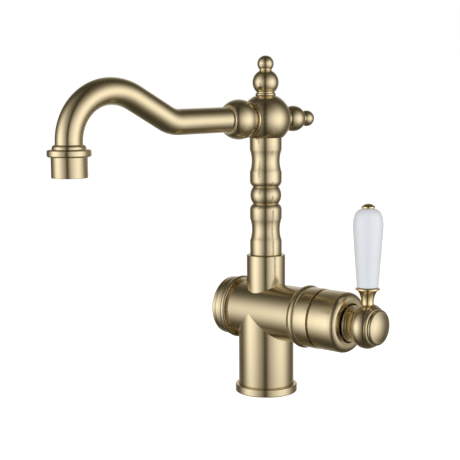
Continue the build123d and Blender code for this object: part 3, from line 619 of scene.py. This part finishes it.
def spout_points():
    """Centre line of the spout tube as (along, height) points in millimetres."""
    points = []

    def bend(x, z, radius, begin, end, side):
        cx, cz = x - side * radius * math.sin(begin), z + side * radius * math.cos(begin)
        steps = math.ceil(abs(end - begin) / BEND_STEP)
        for i in range(steps + 1):
            slope = begin + (end - begin) * i / steps
            points.append((cx + side * radius * math.sin(slope),
                           cz - side * radius * math.cos(slope)))
        return points[-1]

    def level(along):
        return HUB_HEIGHT - (along - COLLAR_END) * math.tan(DROOP)

    points.append((TUBE_START, level(TUBE_START)))
    foot = bend(DIP_X, level(DIP_X), DIP_BEND_R, -DROOP, RISE, 1)
    top = (foot[0] + RISE_RUN * math.cos(RISE), foot[1] + RISE_RUN * math.sin(RISE))
    apex = bend(*top, CROOK_IN_R, RISE, 0, -1)
    down = bend(*apex, CROOK_OUT_R, 0, -math.pi / 2, -1)
    points.append((down[0], foot_of("spout_tube")))
    return points


def new_material(name):
    """Empty material and the graph that fills it."""
    material = bpy.data.materials.new(name)
    material.use_nodes = True
    material.node_tree.nodes.clear()
    return material, Graph(material.node_tree)


def rgba(colour):
    """Colour with full alpha."""
    return (*colour, 1.0)


def object_place(graph):
    """Coordinates of the piece itself."""
    return graph.node("ShaderNodeTexCoord", {}, {}, "Object")


def lay_place(graph, along):
    """Coordinates that follow the brushing, drawn out by a share along the strokes."""
    lay = graph.node("ShaderNodeAttribute", {"attribute_name": "lay"}, {}, "Vector")
    return graph.node("ShaderNodeVectorMath", {"operation": "MULTIPLY"},
                      {0: lay, 1: (1.0, along, along)})


def noise(graph, place, scale, detail=2.0, roughness=0.5):
    """Grey noise at a place."""
    return graph.node("ShaderNodeTexNoise", {}, {
        "Vector": place, "Scale": scale, "Detail": detail, "Roughness": roughness})


def blend_colours(graph, share, first, second):
    """Mix of two colours by a share."""
    return graph.node("ShaderNodeMix", {"data_type": "RGBA"}, {
        MIX_SHARE: share, MIX_FIRST: first, MIX_SECOND: second}, MIX_RESULT)


def relief(graph, height, strength, distance=0.0002):
    """Normal of a surface that is raised by a height."""
    return graph.node("ShaderNodeBump", {}, {
        "Height": height, "Strength": strength, "Distance": distance})


def principled(graph, base, roughness, metallic, normal, **sockets):
    """Principled surface joined to the material's output."""
    surface = graph.node("ShaderNodeBsdfPrincipled", {}, {
        "Base Color": base, "Roughness": roughness, "Metallic": metallic, "Normal": normal,
        **sockets})
    graph.node("ShaderNodeOutputMaterial", {}, {"Surface": surface})


def satin_brass(name, finish):
    """Brushed brass whose strokes run round each turned piece."""
    cloud_tone, cloud_gloss, band_gloss, band_depth = 0.55, 0.05, 0.06, 0.6
    material, graph = new_material(name)
    strokes = noise(graph, lay_place(graph, along=0.035), scale=5200.0, detail=3.0, roughness=0.6)
    bands = noise(graph, lay_place(graph, along=0.10), scale=700.0)
    clouds = noise(graph, object_place(graph), scale=38.0, detail=3.0)
    base = blend_colours(graph, clouds * cloud_tone, rgba(finish.brass), rgba(finish.brass_deep))
    roughness = finish.brass_roughness - band_gloss + bands * band_gloss + clouds * cloud_gloss
    normal = relief(graph, strokes + bands * band_depth, strength=0.03)
    principled(graph, base, roughness, 1.0, normal)
    return material


def polished_brass(name, finish):
    """Smooth bright brass with faint polishing marks."""
    stroke_gloss = 0.05
    material, graph = new_material(name)
    strokes = noise(graph, lay_place(graph, along=0.05), scale=3000.0)
    roughness = finish.polished_roughness + strokes * stroke_gloss
    normal = relief(graph, strokes, strength=0.03)
    principled(graph, rgba(finish.polished), roughness, 1.0, normal)
    return material


def porcelain(name, finish):
    """White glaze with a faint ripple and cloudy tone."""
    dimming, gloss, cloud_gloss = 0.97, 0.09, 0.04
    material, graph = new_material(name)
    place = object_place(graph)
    clouds = noise(graph, place, scale=60.0)
    ripple = noise(graph, place, scale=420.0, detail=1.0)
    dim = tuple(value * dimming for value in finish.porcelain)
    base = blend_colours(graph, clouds, rgba(finish.porcelain), rgba(dim))
    normal = relief(graph, ripple, strength=0.02, distance=0.0003)
    principled(graph, base, gloss + clouds * cloud_gloss, 0.0, normal, IOR=1.52)
    return material


def speckled(name, tone, deep_tone, roughness, fineness, metallic):
    """Plain material with a fine grain, for pieces inside the tap."""
    grain_gloss = 0.1
    material, graph = new_material(name)
    grain = noise(graph, object_place(graph), fineness, detail=3.0)
    base = blend_colours(graph, grain, rgba(tone), rgba(deep_tone))
    normal = relief(graph, grain, strength=0.05)
    principled(graph, base, roughness + grain * grain_gloss, metallic, normal)
    return material


OUTER_FINISHES = {
    "satin_brass": satin_brass, "polished_brass": polished_brass, "porcelain": porcelain}


def finish_of(slot):
    """Material of a slot, made once; the frame's own materials bear the slots' plain names."""
    name = f"tap_{slot}"
    if name in bpy.data.materials:
        return bpy.data.materials[name]
    if slot in INNER_FINISHES:
        return speckled(name, *INNER_FINISHES[slot])
    return OUTER_FINISHES[slot](name, bpy.context.scene.tap_finish)


class TapOperator:
    """What the tap's operators share."""
    bl_options = {"REGISTER", "UNDO"}

    def execute(self, context):
        self.make(context.scene.tap_sizes)
        return {"FINISHED"}


class TAP_OT_inner_parts(TapOperator, bpy.types.Operator):
    """Give the pieces that keep their own shape their materials"""
    bl_idname = "tap.inner_parts"
    bl_label = "Inner parts"

    def make(self, sizes):
        for name, node in frame["nodes"].items():
            node.data.materials.clear()
            node.data.materials.append(finish_of(RECORD_SLOTS[name]))


class TAP_OT_base_ring(TapOperator, bpy.types.Operator):
    """Turn the ring that the stem stands in"""
    bl_idname = "tap.base_ring"
    bl_label = "Base ring"

    def make(self, sizes):
        outer, high, stem_r = sizes.base_radius, sizes.base_height, sizes.stem_radius
        edge, edge_bow, bore = 1.0, 0.3, stem_r - 1.5
        mouth_r, throat_r, throat = stem_r + 0.35, stem_r + 0.1, high - 0.6
        add_turned("base_ring_turned", "base_ring", "valve_body", upright(), [
            (bore, 0), (outer - edge, 0), (outer, edge, edge_bow), (outer, high - edge),
            (outer - edge, high, edge_bow), (mouth_r, high), (throat_r, throat), (bore, throat)],
            ease=0.3, closed=True)


class TAP_OT_body(TapOperator, bpy.types.Operator):
    """Turn the barrel, the stem below it and the neck above it"""
    bl_idname = "tap.body"
    bl_label = "Valve body"

    def make(self, sizes):
        axis, barrel_r = sizes.barrel_height, sizes.barrel_radius
        trim_start, trim_end, trim_r = TRIM
        nose_r, nose_end = NOSE
        spigot_r, spigot_end = SPIGOT
        step, seat = trim_start - TRIM_STEP, nose_end - GAP_EASE
        shelf_r, shelf_rise = nose_r - 0.5, 0.2
        foot_r, foot_gap, foot_bow, crown = nose_r - 0.2, 0.5, -0.1, trim_r - nose_r + 0.4
        groove_r, groove_gap, land_gap = nose_r - 0.4, 0.6, 1.0
        add_turned("barrel_turned", "body_casting", "valve_body", along_barrel(sizes), [
            (0, REAR_END), (barrel_r, REAR_END), (barrel_r, step), (shelf_r, step + shelf_rise),
            (foot_r, trim_start - foot_gap, foot_bow), (foot_r, trim_end + foot_gap, crown),
            (groove_r, trim_end + groove_gap), (nose_r, trim_end + land_gap), (nose_r, seat),
            (spigot_r, seat), (spigot_r, spigot_end), (CHAMBER_R, spigot_end),
            (CHAMBER_R, CHAMBER_FLOOR), (0, CHAMBER_FLOOR)], ease=0.12)
        saddle_r = barrel_r - SADDLE_LAP
        saddle = turned_mesh("saddle", [
            (0, REAR_END), (saddle_r, REAR_END), (saddle_r, -REAR_END), (0, -REAR_END)],
            along_barrel(sizes), ease=CUTTER_EASE)
        stem_r, foot_r, foot = sizes.stem_radius, half_width("stem") - STEM_STEP, 0.3
        shoulder = sizes.base_height - STEM_SEAT
        stem = turned_mesh("stem_turned", [
            (0, foot), (foot_r, foot), (foot_r, shoulder), (stem_r, shoulder), (stem_r, axis),
            (0, axis)], upright(), ease=0.2)
        stem = without("stem_turned", stem, saddle)
        add_piece("stem_turned", "stem", "valve_body", stem)
        neck_r, top, edge, edge_bow = sizes.neck_radius, sizes.neck_top, 0.6, 0.15
        bore_end = top - NECK_BORE_DEPTH
        neck = turned_mesh("neck_turned", [
            (0, axis), (neck_r, axis), (neck_r, top - edge), (neck_r - edge, top, edge_bow),
            (NECK_BORE_R, top), (NECK_BORE_R, bore_end), (0, bore_end)], upright(), ease=0.2)
        neck = without("neck_turned", neck, saddle)
        add_piece("neck_turned", "neck", "valve_body", neck)


class TAP_OT_rear_cap(TapOperator, bpy.types.Operator):
    """Turn the cap that closes the back of the barrel"""
    bl_idname = "tap.rear_cap"
    bl_label = "Rear cap"

    def make(self, sizes):
        back = ends_along_barrel("rear_end_cap")[0]
        ring_r, ring_w = CAP_RING
        groove_r, groove_w = CAP_GROOVE
        ring_back = REAR_END - ring_w
        groove_back = ring_back - groove_w
        middle, dish = (back + groove_back) / 2, back + CAP_DISH
        dish_r, land_r, dish_bow = CAP_RIM_R - 4, CAP_RIM_R - 3.4, -0.15
        shoulder_r, shoulder, shoulder_bow = CAP_RIM_R - 1.6, back + 1.8, 0.55
        flank_bow, bead = 0.3, 1.2
        add_turned("rear_cap_turned", "rear_end_cap", "valve_body", along_barrel(sizes), [
            (0, dish), (dish_r, dish), (land_r, back, dish_bow), (shoulder_r, back),
            (CAP_RIM_R, shoulder, shoulder_bow), (CAP_RIM_R, middle),
            (groove_r, groove_back, flank_bow), (groove_r, ring_back), (ring_r - bead, ring_back),
            (ring_r - bead, REAR_END, bead), (0, REAR_END)], ease=0.3)


class TAP_OT_cover(TapOperator, bpy.types.Operator):
    """Turn the shell that covers the cartridge and its rounded front ring"""
    bl_idname = "tap.cover"
    bl_label = "Handle cover"

    def make(self, sizes):
        start, seam = ends_along_barrel("handle_cover")
        outer = half_width("handle_cover")
        inner, back, shoulder, edge = outer - COVER_WALL, start + 0.6, start + 0.7, 0.1
        add_turned("handle_cover_turned", "handle_cover", "valve_body", along_barrel(sizes), [
            (inner, back), (outer - edge, back), (outer, shoulder), (outer, seam - SEAM_EASE),
            (outer - SEAM_EASE, seam), (inner, seam)], ease=0.1, closed=True)
        end = ends_along_barrel("cover_front_ring")[1]
        rounding, mouth_bow = end - seam, 0.2
        add_turned("cover_front_turned", "cover_front_ring", "valve_body", along_barrel(sizes), [
            (MOUTH_R, seam), (outer - SEAM_EASE, seam), (outer, seam + SEAM_EASE),
            (outer - rounding + SEAM_EASE, end, rounding * QUARTER_BOW),
            (MOUTH_R + MOUTH_EDGE, end), (MOUTH_R, end - MOUTH_EDGE, mouth_bow)],
            ease=0.1, closed=True)


class TAP_OT_column(TapOperator, bpy.types.Operator):
    """Turn the column with its waists, grooves and bead"""
    bl_idname = "tap.column"
    bl_label = "Column"

    def make(self, sizes):
        r, top = sizes.column_radius, HUB_HEIGHT - HUB_FOOT
        end, seam = sizes.neck_top - SWIVEL_DEPTH, sizes.neck_top + SWIVEL_GAP
        waist, flank_bow = r - WAIST_R, 0.7
        add_turned("column_turned", "spout_column", "spout", upright(), [
            (0, end), (SWIVEL_R, end), (SWIVEL_R, seam), (r, seam), (r, LOW_WAIST[0]),
            (r, LOW_WAIST[1], -waist), (r, LOW_GROOVE - FLANK), (GROOVE_R, LOW_GROOVE, flank_bow),
            (GROOVE_R, HIGH_GROOVE, BEAD_R - GROOVE_R), (r, HIGH_GROOVE + FLANK, flank_bow),
            (r, HIGH_WAIST[0]), (r, HIGH_WAIST[1], -waist), (r, top), (0, top)], ease=0.5)


class TAP_OT_hub(TapOperator, bpy.types.Operator):
    """Turn the ball that the spout and the finials screw into, with a flat for each"""
    bl_idname = "tap.hub"
    bl_label = "Hub ball"

    def make(self, sizes):
        radius = sizes.hub_radius
        low = (ball_slice(radius, HUB_FOOT), -HUB_FOOT)
        middle = (radius, 0)
        high = (ball_slice(radius, FINIAL_SEAT), FINIAL_SEAT)
        ball = turned_mesh("hub_ball", [
            (0, -HUB_FOOT), low, (*middle, ball_bow(radius, low, middle)),
            (*high, ball_bow(radius, middle, high)), (0, FINIAL_SEAT)],
            at_hub(sizes, 0), ease=0.3)
        outside = radius + 1
        for seat, tilt in ((COLLAR_SEAT, 90), (FINIAL_SEAT, -90)):
            flat = turned_mesh("flat", [
                (0, seat), (radius, seat), (radius, outside), (0, outside)],
                at_hub(sizes, tilt), ease=CUTTER_EASE)
            ball = without("hub_ball", ball, flat)
        add_piece("hub_ball", "spout_hub", "spout", ball)


def finial_corners():
    """Outline of a finial, measured from the hub's centre."""
    ring_r, ring_t, bead, neck_r, waist_r = 8.8, 2.4, 0.5, 7.8, 5.2
    ball_r, ball_at, tip_r, tip_at = 11.2, 31.1, 7.0, 46.9
    root, ring_top, ring_edge = FINIAL_SEAT - 1, FINIAL_SEAT + ring_t, ring_r - bead
    low = (neck_r, ball_at - ball_slice(ball_r, neck_r))
    high = (waist_r, ball_at + ball_slice(ball_r, waist_r))
    tip_low = (waist_r, tip_at - ball_slice(tip_r, waist_r))
    tip_top = (0, tip_at + tip_r)
    return [(0, root), (ring_edge, root), (ring_edge, FINIAL_SEAT), (ring_edge, ring_top, bead),
            (neck_r, ring_top), low, (*high, ball_bow(ball_r, low, high)), tip_low,
            (*tip_top, ball_bow(tip_r, tip_low, tip_top))]


class TAP_OT_finials(TapOperator, bpy.types.Operator):
    """Turn the two finials of the hub"""
    bl_idname = "tap.finials"
    bl_label = "Finials"

    def make(self, sizes):
        for node, tilt in (("top_finial", 0), ("rear_finial", -90)):
            add_turned(f"{node}_turned", node, "spout", at_hub(sizes, tilt), finial_corners(),
                       ease=0.4)


class TAP_OT_collar(TapOperator, bpy.types.Operator):
    """Turn the ball-shaped collar that holds the spout tube"""
    bl_idname = "tap.collar"
    bl_label = "Spout collar"

    def make(self, sizes):
        ring_r, ring_t, bead, groove_r, lip_r, lip_t = 14.6, 2.6, 0.6, 12.9, 12.0, 1.0
        ball_at, ball_r = COLLAR_BALL
        low = (groove_r, ball_at - ball_slice(ball_r, groove_r))
        middle = (ball_r, ball_at)
        high = (ball_slice(ball_r, COLLAR_END - ball_at), COLLAR_END)
        edge, ring_top, lip_top = ring_r - bead, COLLAR_SEAT + ring_t, COLLAR_END + lip_t
        bore, bore_end = sizes.tube_radius - 1, COLLAR_END - 3
        add_turned("spout_collar_turned", "spout_collar", "spout", at_hub(sizes, 90), [
            (0, COLLAR_SEAT), (edge, COLLAR_SEAT), (edge, ring_top, bead), (groove_r, ring_top),
            low, (*middle, ball_bow(ball_r, low, middle)),
            (*high, ball_bow(ball_r, middle, high)), (lip_r, COLLAR_END), (lip_r, lip_top),
            (bore, lip_top), (bore, bore_end), (0, bore_end)])


class TAP_OT_tube(TapOperator, bpy.types.Operator):
    """Bend the spout tube along its swan-neck line"""
    bl_idname = "tap.tube"
    bl_label = "Spout tube"

    def make(self, sizes):
        points = spout_points()
        route = bpy.data.curves.new("spout_route", "CURVE")
        route.dimensions = "3D"
        line = route.splines.new("POLY")
        line.points.add(len(points) - 1)
        for point, (along, height) in zip(line.points, points):
            point.co = (0, -along * MM, height * MM, 1)
        mesh = with_tree("spout_tube_bent", route, tube_tree(), Radius=sizes.tube_radius * MM,
                         Finish=finish_of("satin_brass"))
        outward(mesh)
        mesh.transform(swung(sizes))
        add_piece("spout_tube_bent", "spout_tube", "spout", mesh)


class TAP_OT_nozzle(TapOperator, bpy.types.Operator):
    """Turn the nozzle with its flange"""
    bl_idname = "tap.nozzle"
    bl_label = "Nozzle"

    def make(self, sizes):
        bottom, top, tube_r = foot_of("nozzle"), top_of("nozzle"), sizes.tube_radius
        outer, bore, inner, shelf, lip, lip_bow = 13.9, 12.9, 11.95, bottom + 1.4, 0.4, 0.1
        flange_r, flange_low, flange_top, edge, edge_bow = 16.8, 212.3, 217.9, 1.4, 0.4
        flare_r, flare, flare_bow = 13.0, flange_top + 0.8, 0.5
        rim_r, sleeve_r = tube_r + 0.9, tube_r - 0.6
        add_turned("nozzle_turned", "nozzle", "spout", at_nozzle(sizes), [
            (bore, bottom), (outer - lip, bottom), (outer, bottom + lip, lip_bow),
            (outer, flange_low), (flange_r - edge, flange_low),
            (flange_r, flange_low + edge, edge_bow), (flange_r, flange_top - edge),
            (flange_r - edge, flange_top, edge_bow), (flare_r, flange_top), (flare_r, flare),
            (rim_r, top, flare_bow), (sleeve_r, top), (sleeve_r, flange_low),
            (inner, flange_low), (inner, shelf), (bore, shelf)], closed=True)


class TAP_OT_knob(TapOperator, bpy.types.Operator):
    """Turn the knob's neck, the knob and its domed front cap"""
    bl_idname = "tap.knob"
    bl_label = "Handle knob"

    def make(self, sizes):
        barrel = along_barrel(sizes)
        crease_x, crease_r, knob_x, knob_r = 98.6, 13.4, 106.8, 18.5
        rim_x, rim_r, front_x, front_r, flatness = 113.2, 16.2, 115.4, 13.8, 7
        back = ends_along_barrel("knob_neck")[0]
        flange_r, flange = 15.2, back + 1.5
        waist_r, waist_bow, bore_r, bore_end = 12.0, -0.4, 10.3, 97.0
        add_turned("knob_neck_turned", "knob_neck", "lever", barrel, [
            (0, bore_end), (bore_r, bore_end), (bore_r, back), (flange_r, back),
            (flange_r, flange), (waist_r, flange), (crease_r, crease_x, waist_bow),
            (0, crease_x)], ease=0.3)
        front_bow = math.hypot(front_x - rim_x, rim_r - front_r) / flatness
        add_turned("handle_knob_turned", "handle_knob", "lever", barrel, [
            (0, crease_x), (crease_r, crease_x),
            (knob_r, knob_x, crest(knob_x - crease_x, knob_r - crease_r)),
            (rim_r, rim_x, crest(rim_x - knob_x, knob_r - rim_r)),
            (front_r, front_x, front_bow), (0, front_x)], ease=0.2)
        root_r, root, root_end = 12.5, front_x - 0.5, front_x + 0.3
        dome_r, dome, dome_bow = 14.7, front_x + 1.1, 0.2
        crown_r, crown, crown_bow = dome_r - 2.4, dome + 2.4, 0.6
        end = ends_along_barrel("knob_cap")[1] - 1.2
        add_turned("knob_cap_turned", "knob_cap", "lever", barrel, [
            (0, root), (root_r, root), (root_r, root_end), (dome_r, dome, dome_bow),
            (crown_r, crown, crown_bow), (0, end, crest(crown_r, end - crown))], ease=0.15)


class TAP_OT_lever(TapOperator, bpy.types.Operator):
    """Turn the ferrule, the porcelain lever and its cap"""
    bl_idname = "tap.lever"
    bl_label = "Lever"

    def make(self, sizes):
        place = on_lever(sizes)
        low, top = ends_on_lever("lever_ferrule", sizes)
        foot_r, foot_t, lip_r, lip, edge, edge_bow = 5.1, 2.0, 9.9, top - 1.6, 0.5, 0.15
        bell_r, bell, bell_bow, flare_bow = lip_r - 2.0, lip - 1.2, -0.7, -0.2
        add_turned("lever_ferrule_turned", "lever_ferrule", "lever", place, [
            (0, low), (foot_r, low), (foot_r, low + foot_t), (bell_r, bell, bell_bow),
            (lip_r - edge, lip, flare_bow), (lip_r, lip + edge, edge_bow), (lip_r, top - edge),
            (lip_r - edge, top, edge_bow), (0, top)], slot="polished_brass", ease=0.25)
        low, top = ends_on_lever("porcelain_lever", sizes)
        bore_r, foot_r, rim_r, rim_t, rim_bow = 3.2, 8.2, 8.7, 0.6, 0.15
        belly_r, belly, belly_bow, neck_r, neck = 12.3, 81.5, 0.1, 11.1, 90.0
        crown_r, crown_bow = 5.6, 1.03
        add_turned("porcelain_lever_glazed", "porcelain_lever", "lever", place, [
            (bore_r, low), (foot_r, low), (rim_r, low + rim_t, rim_bow),
            (belly_r, belly, belly_bow), (neck_r, neck, crest(neck - belly, belly_r - neck_r)),
            (crown_r, top, crown_bow), (bore_r, top)], slot="porcelain", ease=0.3, closed=True)
        low, top = ends_on_lever("lever_cap", sizes)
        cap_r, edge, edge_bow, wall = 5.5, 0.3, 0.08, 1.2
        add_turned("lever_cap_turned", "lever_cap", "lever", place, [
            (0, low), (cap_r - edge, low), (cap_r, low + edge, edge_bow), (cap_r, low + wall),
            (0, top, crest(cap_r, top - low - wall))], slot="polished_brass", ease=0.15)


def seen_share(graph):
    """1 for rays from the camera, and for those that metal or glass sends on."""
    rays = graph.node("ShaderNodeLightPath")
    glossy, through = graph.other(rays, "Is Glossy Ray"), graph.other(rays, "Is Transmission Ray")
    return (rays + glossy + through).maths("MINIMUM", 1.0)


def studio_floor():
    """Pale floor that the camera sees white, with the tap's shadow on it."""
    half = FLOOR_WIDTH / 2
    mesh = bpy.data.meshes.new("floor")
    mesh.from_pydata([(-half, -half, 0), (half, -half, 0), (half, half, 0), (-half, half, 0)],
                     [], [(0, 1, 2, 3)])
    material, graph = new_material("floor")
    glow = graph.node("ShaderNodeEmission", {}, {
        "Color": WHITE, "Strength": seen_share(graph) * FLOOR_GLOW})
    pale = graph.node("ShaderNodeBsdfDiffuse", {}, {"Color": rgba(FLOOR_COLOUR)})
    both = graph.node("ShaderNodeAddShader", {}, {0: pale, 1: glow})
    graph.node("ShaderNodeOutputMaterial", {}, {"Surface": both})
    mesh.materials.append(material)
    floor = put_in_scene("floor", mesh)
    floor.visible_glossy = False


def studio_world():
    """World that is white to the camera and lights the tap more dimly."""
    world = bpy.data.worlds.new("studio")
    world.use_nodes = True
    world.cycles.sampling_method = "NONE"
    world.node_tree.nodes.clear()
    graph = Graph(world.node_tree)
    white = graph.node("ShaderNodeBackground", {}, {"Color": WHITE, "Strength": 1.0})
    dim = graph.node("ShaderNodeBackground", {}, {"Color": WHITE, "Strength": WORLD_LIGHT})
    mixed = graph.node("ShaderNodeMixShader", {}, {0: seen_share(graph), 1: dim, 2: white})
    graph.node("ShaderNodeOutputWorld", {}, {"Surface": mixed})
    bpy.context.scene.world = world


def softbox(name, azimuth, glow):
    """Upright soft lamp that faces the column and leaves reflections to the dome."""
    light = bpy.data.lights.new(name, "AREA")
    light.shape = "RECTANGLE"
    light.size, light.size_y = SOFTBOX_WIDTH, SOFTBOX_TALL
    light.energy = glow * math.pi * SOFTBOX_WIDTH * SOFTBOX_TALL
    lamp = put_in_scene(name, light)
    turn = CAMERA_AZIMUTH + math.radians(azimuth)
    place = Vector((math.sin(turn) * SOFTBOX_DISTANCE, -math.cos(turn) * SOFTBOX_DISTANCE,
                    SOFTBOX_HEIGHT))
    outwards = place - Vector((0, 0, SOFTBOX_HEIGHT))
    facing = outwards.to_track_quat("Z", "Y").to_matrix().to_4x4()
    lamp.matrix_world = Matrix.Translation(place) @ facing
    lamp.visible_glossy = False


def hump(value, middle, spread):
    """Bell of height 1 round a middle value."""
    offset = (value - middle) / spread
    return (offset * offset * -0.5).maths("EXPONENT")


def uneven_hump(value, middle, low_spread, high_spread):
    """Bell of height 1 with a spread of its own on each side of its middle."""
    low, high = value.maths("MINIMUM", middle), value.maths("MAXIMUM", middle)
    return hump(low, middle, low_spread) * hump(high, middle, high_spread)


def light_dome():
    """Sphere that only reflections show: lights left, right and behind, with a dark strip."""
    work = bmesh.new()
    bmesh.ops.create_uvsphere(work, u_segments=DOME_SEGMENTS, v_segments=DOME_RINGS,
                              radius=DOME_RADIUS)
    mesh = bpy.data.meshes.new("light_dome")
    work.to_mesh(mesh)
    work.free()
    mesh.shade_smooth()
    material, graph = new_material("light_dome")
    material.cycles.emission_sampling = "NONE"
    aim = graph.node("ShaderNodeVectorMath", {"operation": "NORMALIZE"},
                     {0: object_place(graph)})
    x = graph.node("ShaderNodeSeparateXYZ", {}, {0: aim})
    y, z = graph.other(x, "Y"), graph.other(x, "Z")
    turn = x.maths("ARCTAN2", y * -1) - CAMERA_AZIMUTH
    azimuth = turn.maths("WRAP", math.pi, -math.pi) * DEGREES
    level = z.maths("ARCSINE") * DEGREES
    behind = hump(azimuth, -180, BACK_FADE) + hump(azimuth, 180, BACK_FADE)
    left = uneven_hump(azimuth, *LEFT_LIGHT)
    right = uneven_hump(azimuth, *RIGHT_LIGHT)
    lights = left * LEFT_GLOW + right * RIGHT_GLOW + behind * BACK_GLOW
    around = lights * hump(level, *LIGHT_LEVEL) + DOME_AMBIENT
    lit = around * (1 - hump(azimuth, *DARK_STRIP))
    share = (lit * WHITENING).maths("MINIMUM", 1.0)
    tint = blend_colours(graph, share, rgba(WARM_TINT), WHITE)
    glow = graph.node("ShaderNodeEmission", {}, {"Color": tint, "Strength": lit})
    graph.node("ShaderNodeOutputMaterial", {}, {"Surface": glow})
    mesh.materials.append(material)
    dome = put_in_scene("light_dome", mesh)
    dome.visible_camera = dome.visible_diffuse = False
    dome.visible_shadow = dome.visible_transmission = False


def camera_frame():
    """Camera's place and its axes in the tap's frame."""
    turn = Matrix.Rotation(CAMERA_AZIMUTH, 3, "Z")
    right = Vector((math.cos(CAMERA_YAW), -math.sin(CAMERA_YAW), 0))
    forward = Vector((math.sin(CAMERA_YAW) * math.cos(CAMERA_PITCH),
                      math.cos(CAMERA_YAW) * math.cos(CAMERA_PITCH), -math.sin(CAMERA_PITCH)))
    up = right.cross(forward)
    across = right * math.cos(CAMERA_ROLL) + up * math.sin(CAMERA_ROLL)
    over = -right * math.sin(CAMERA_ROLL) + up * math.cos(CAMERA_ROLL)
    place = turn @ Vector((0, -CAMERA_DISTANCE, 0)) + Vector((0, 0, CAMERA_HEIGHT))
    axes = Matrix((turn @ across, turn @ over, turn @ -forward)).transposed()
    return Matrix.Translation(place) @ axes.to_4x4()


def studio_camera():
    """Camera at the photo's viewing angle."""
    data = bpy.data.cameras.new("camera")
    data.lens = CAMERA_LENS
    data.sensor_width = CAMERA_SENSOR
    camera = put_in_scene("camera", data)
    camera.matrix_world = camera_frame()
    bpy.context.scene.camera = camera


class TAP_OT_stage(TapOperator, bpy.types.Operator):
    """Set up the floor, the light and the camera"""
    bl_idname = "tap.stage"
    bl_label = "Studio"

    def make(self, sizes):
        studio_floor()
        studio_world()
        for lamp in SOFTBOXES:
            softbox(*lamp)
        light_dome()
        studio_camera()
        bpy.context.scene.view_settings.view_transform = "Standard"


OPERATORS = (
    TAP_OT_inner_parts, TAP_OT_base_ring, TAP_OT_body, TAP_OT_rear_cap, TAP_OT_cover,
    TAP_OT_column, TAP_OT_hub, TAP_OT_finials, TAP_OT_collar, TAP_OT_tube, TAP_OT_nozzle,
    TAP_OT_knob, TAP_OT_lever, TAP_OT_stage)


class TAP_PT_panel(bpy.types.Panel):
    """Lists the tap's operators in the sidebar"""
    bl_label = "Basin mixer tap"
    bl_idname = "TAP_PT_panel"
    bl_space_type = "VIEW_3D"
    bl_region_type = "UI"
    bl_category = "Tap"

    def draw(self, context):
        for operator in OPERATORS:
            self.layout.operator(operator.bl_idname)


CLASSES = (TapFinish, TapSizes, *OPERATORS, TAP_PT_panel)


def register():
    for item in CLASSES:
        bpy.utils.register_class(item)
    bpy.types.Scene.tap_finish = bpy.props.PointerProperty(type=TapFinish)
    bpy.types.Scene.tap_sizes = bpy.props.PointerProperty(type=TapSizes)


def unregister():
    del bpy.types.Scene.tap_sizes
    del bpy.types.Scene.tap_finish
    for item in reversed(CLASSES):
        bpy.utils.unregister_class(item)


def main():
    register()
    for operator in OPERATORS:
        group, name = operator.bl_idname.split(".")
        getattr(getattr(bpy.ops, group), name)()


if __name__ == "__main__":
    main()
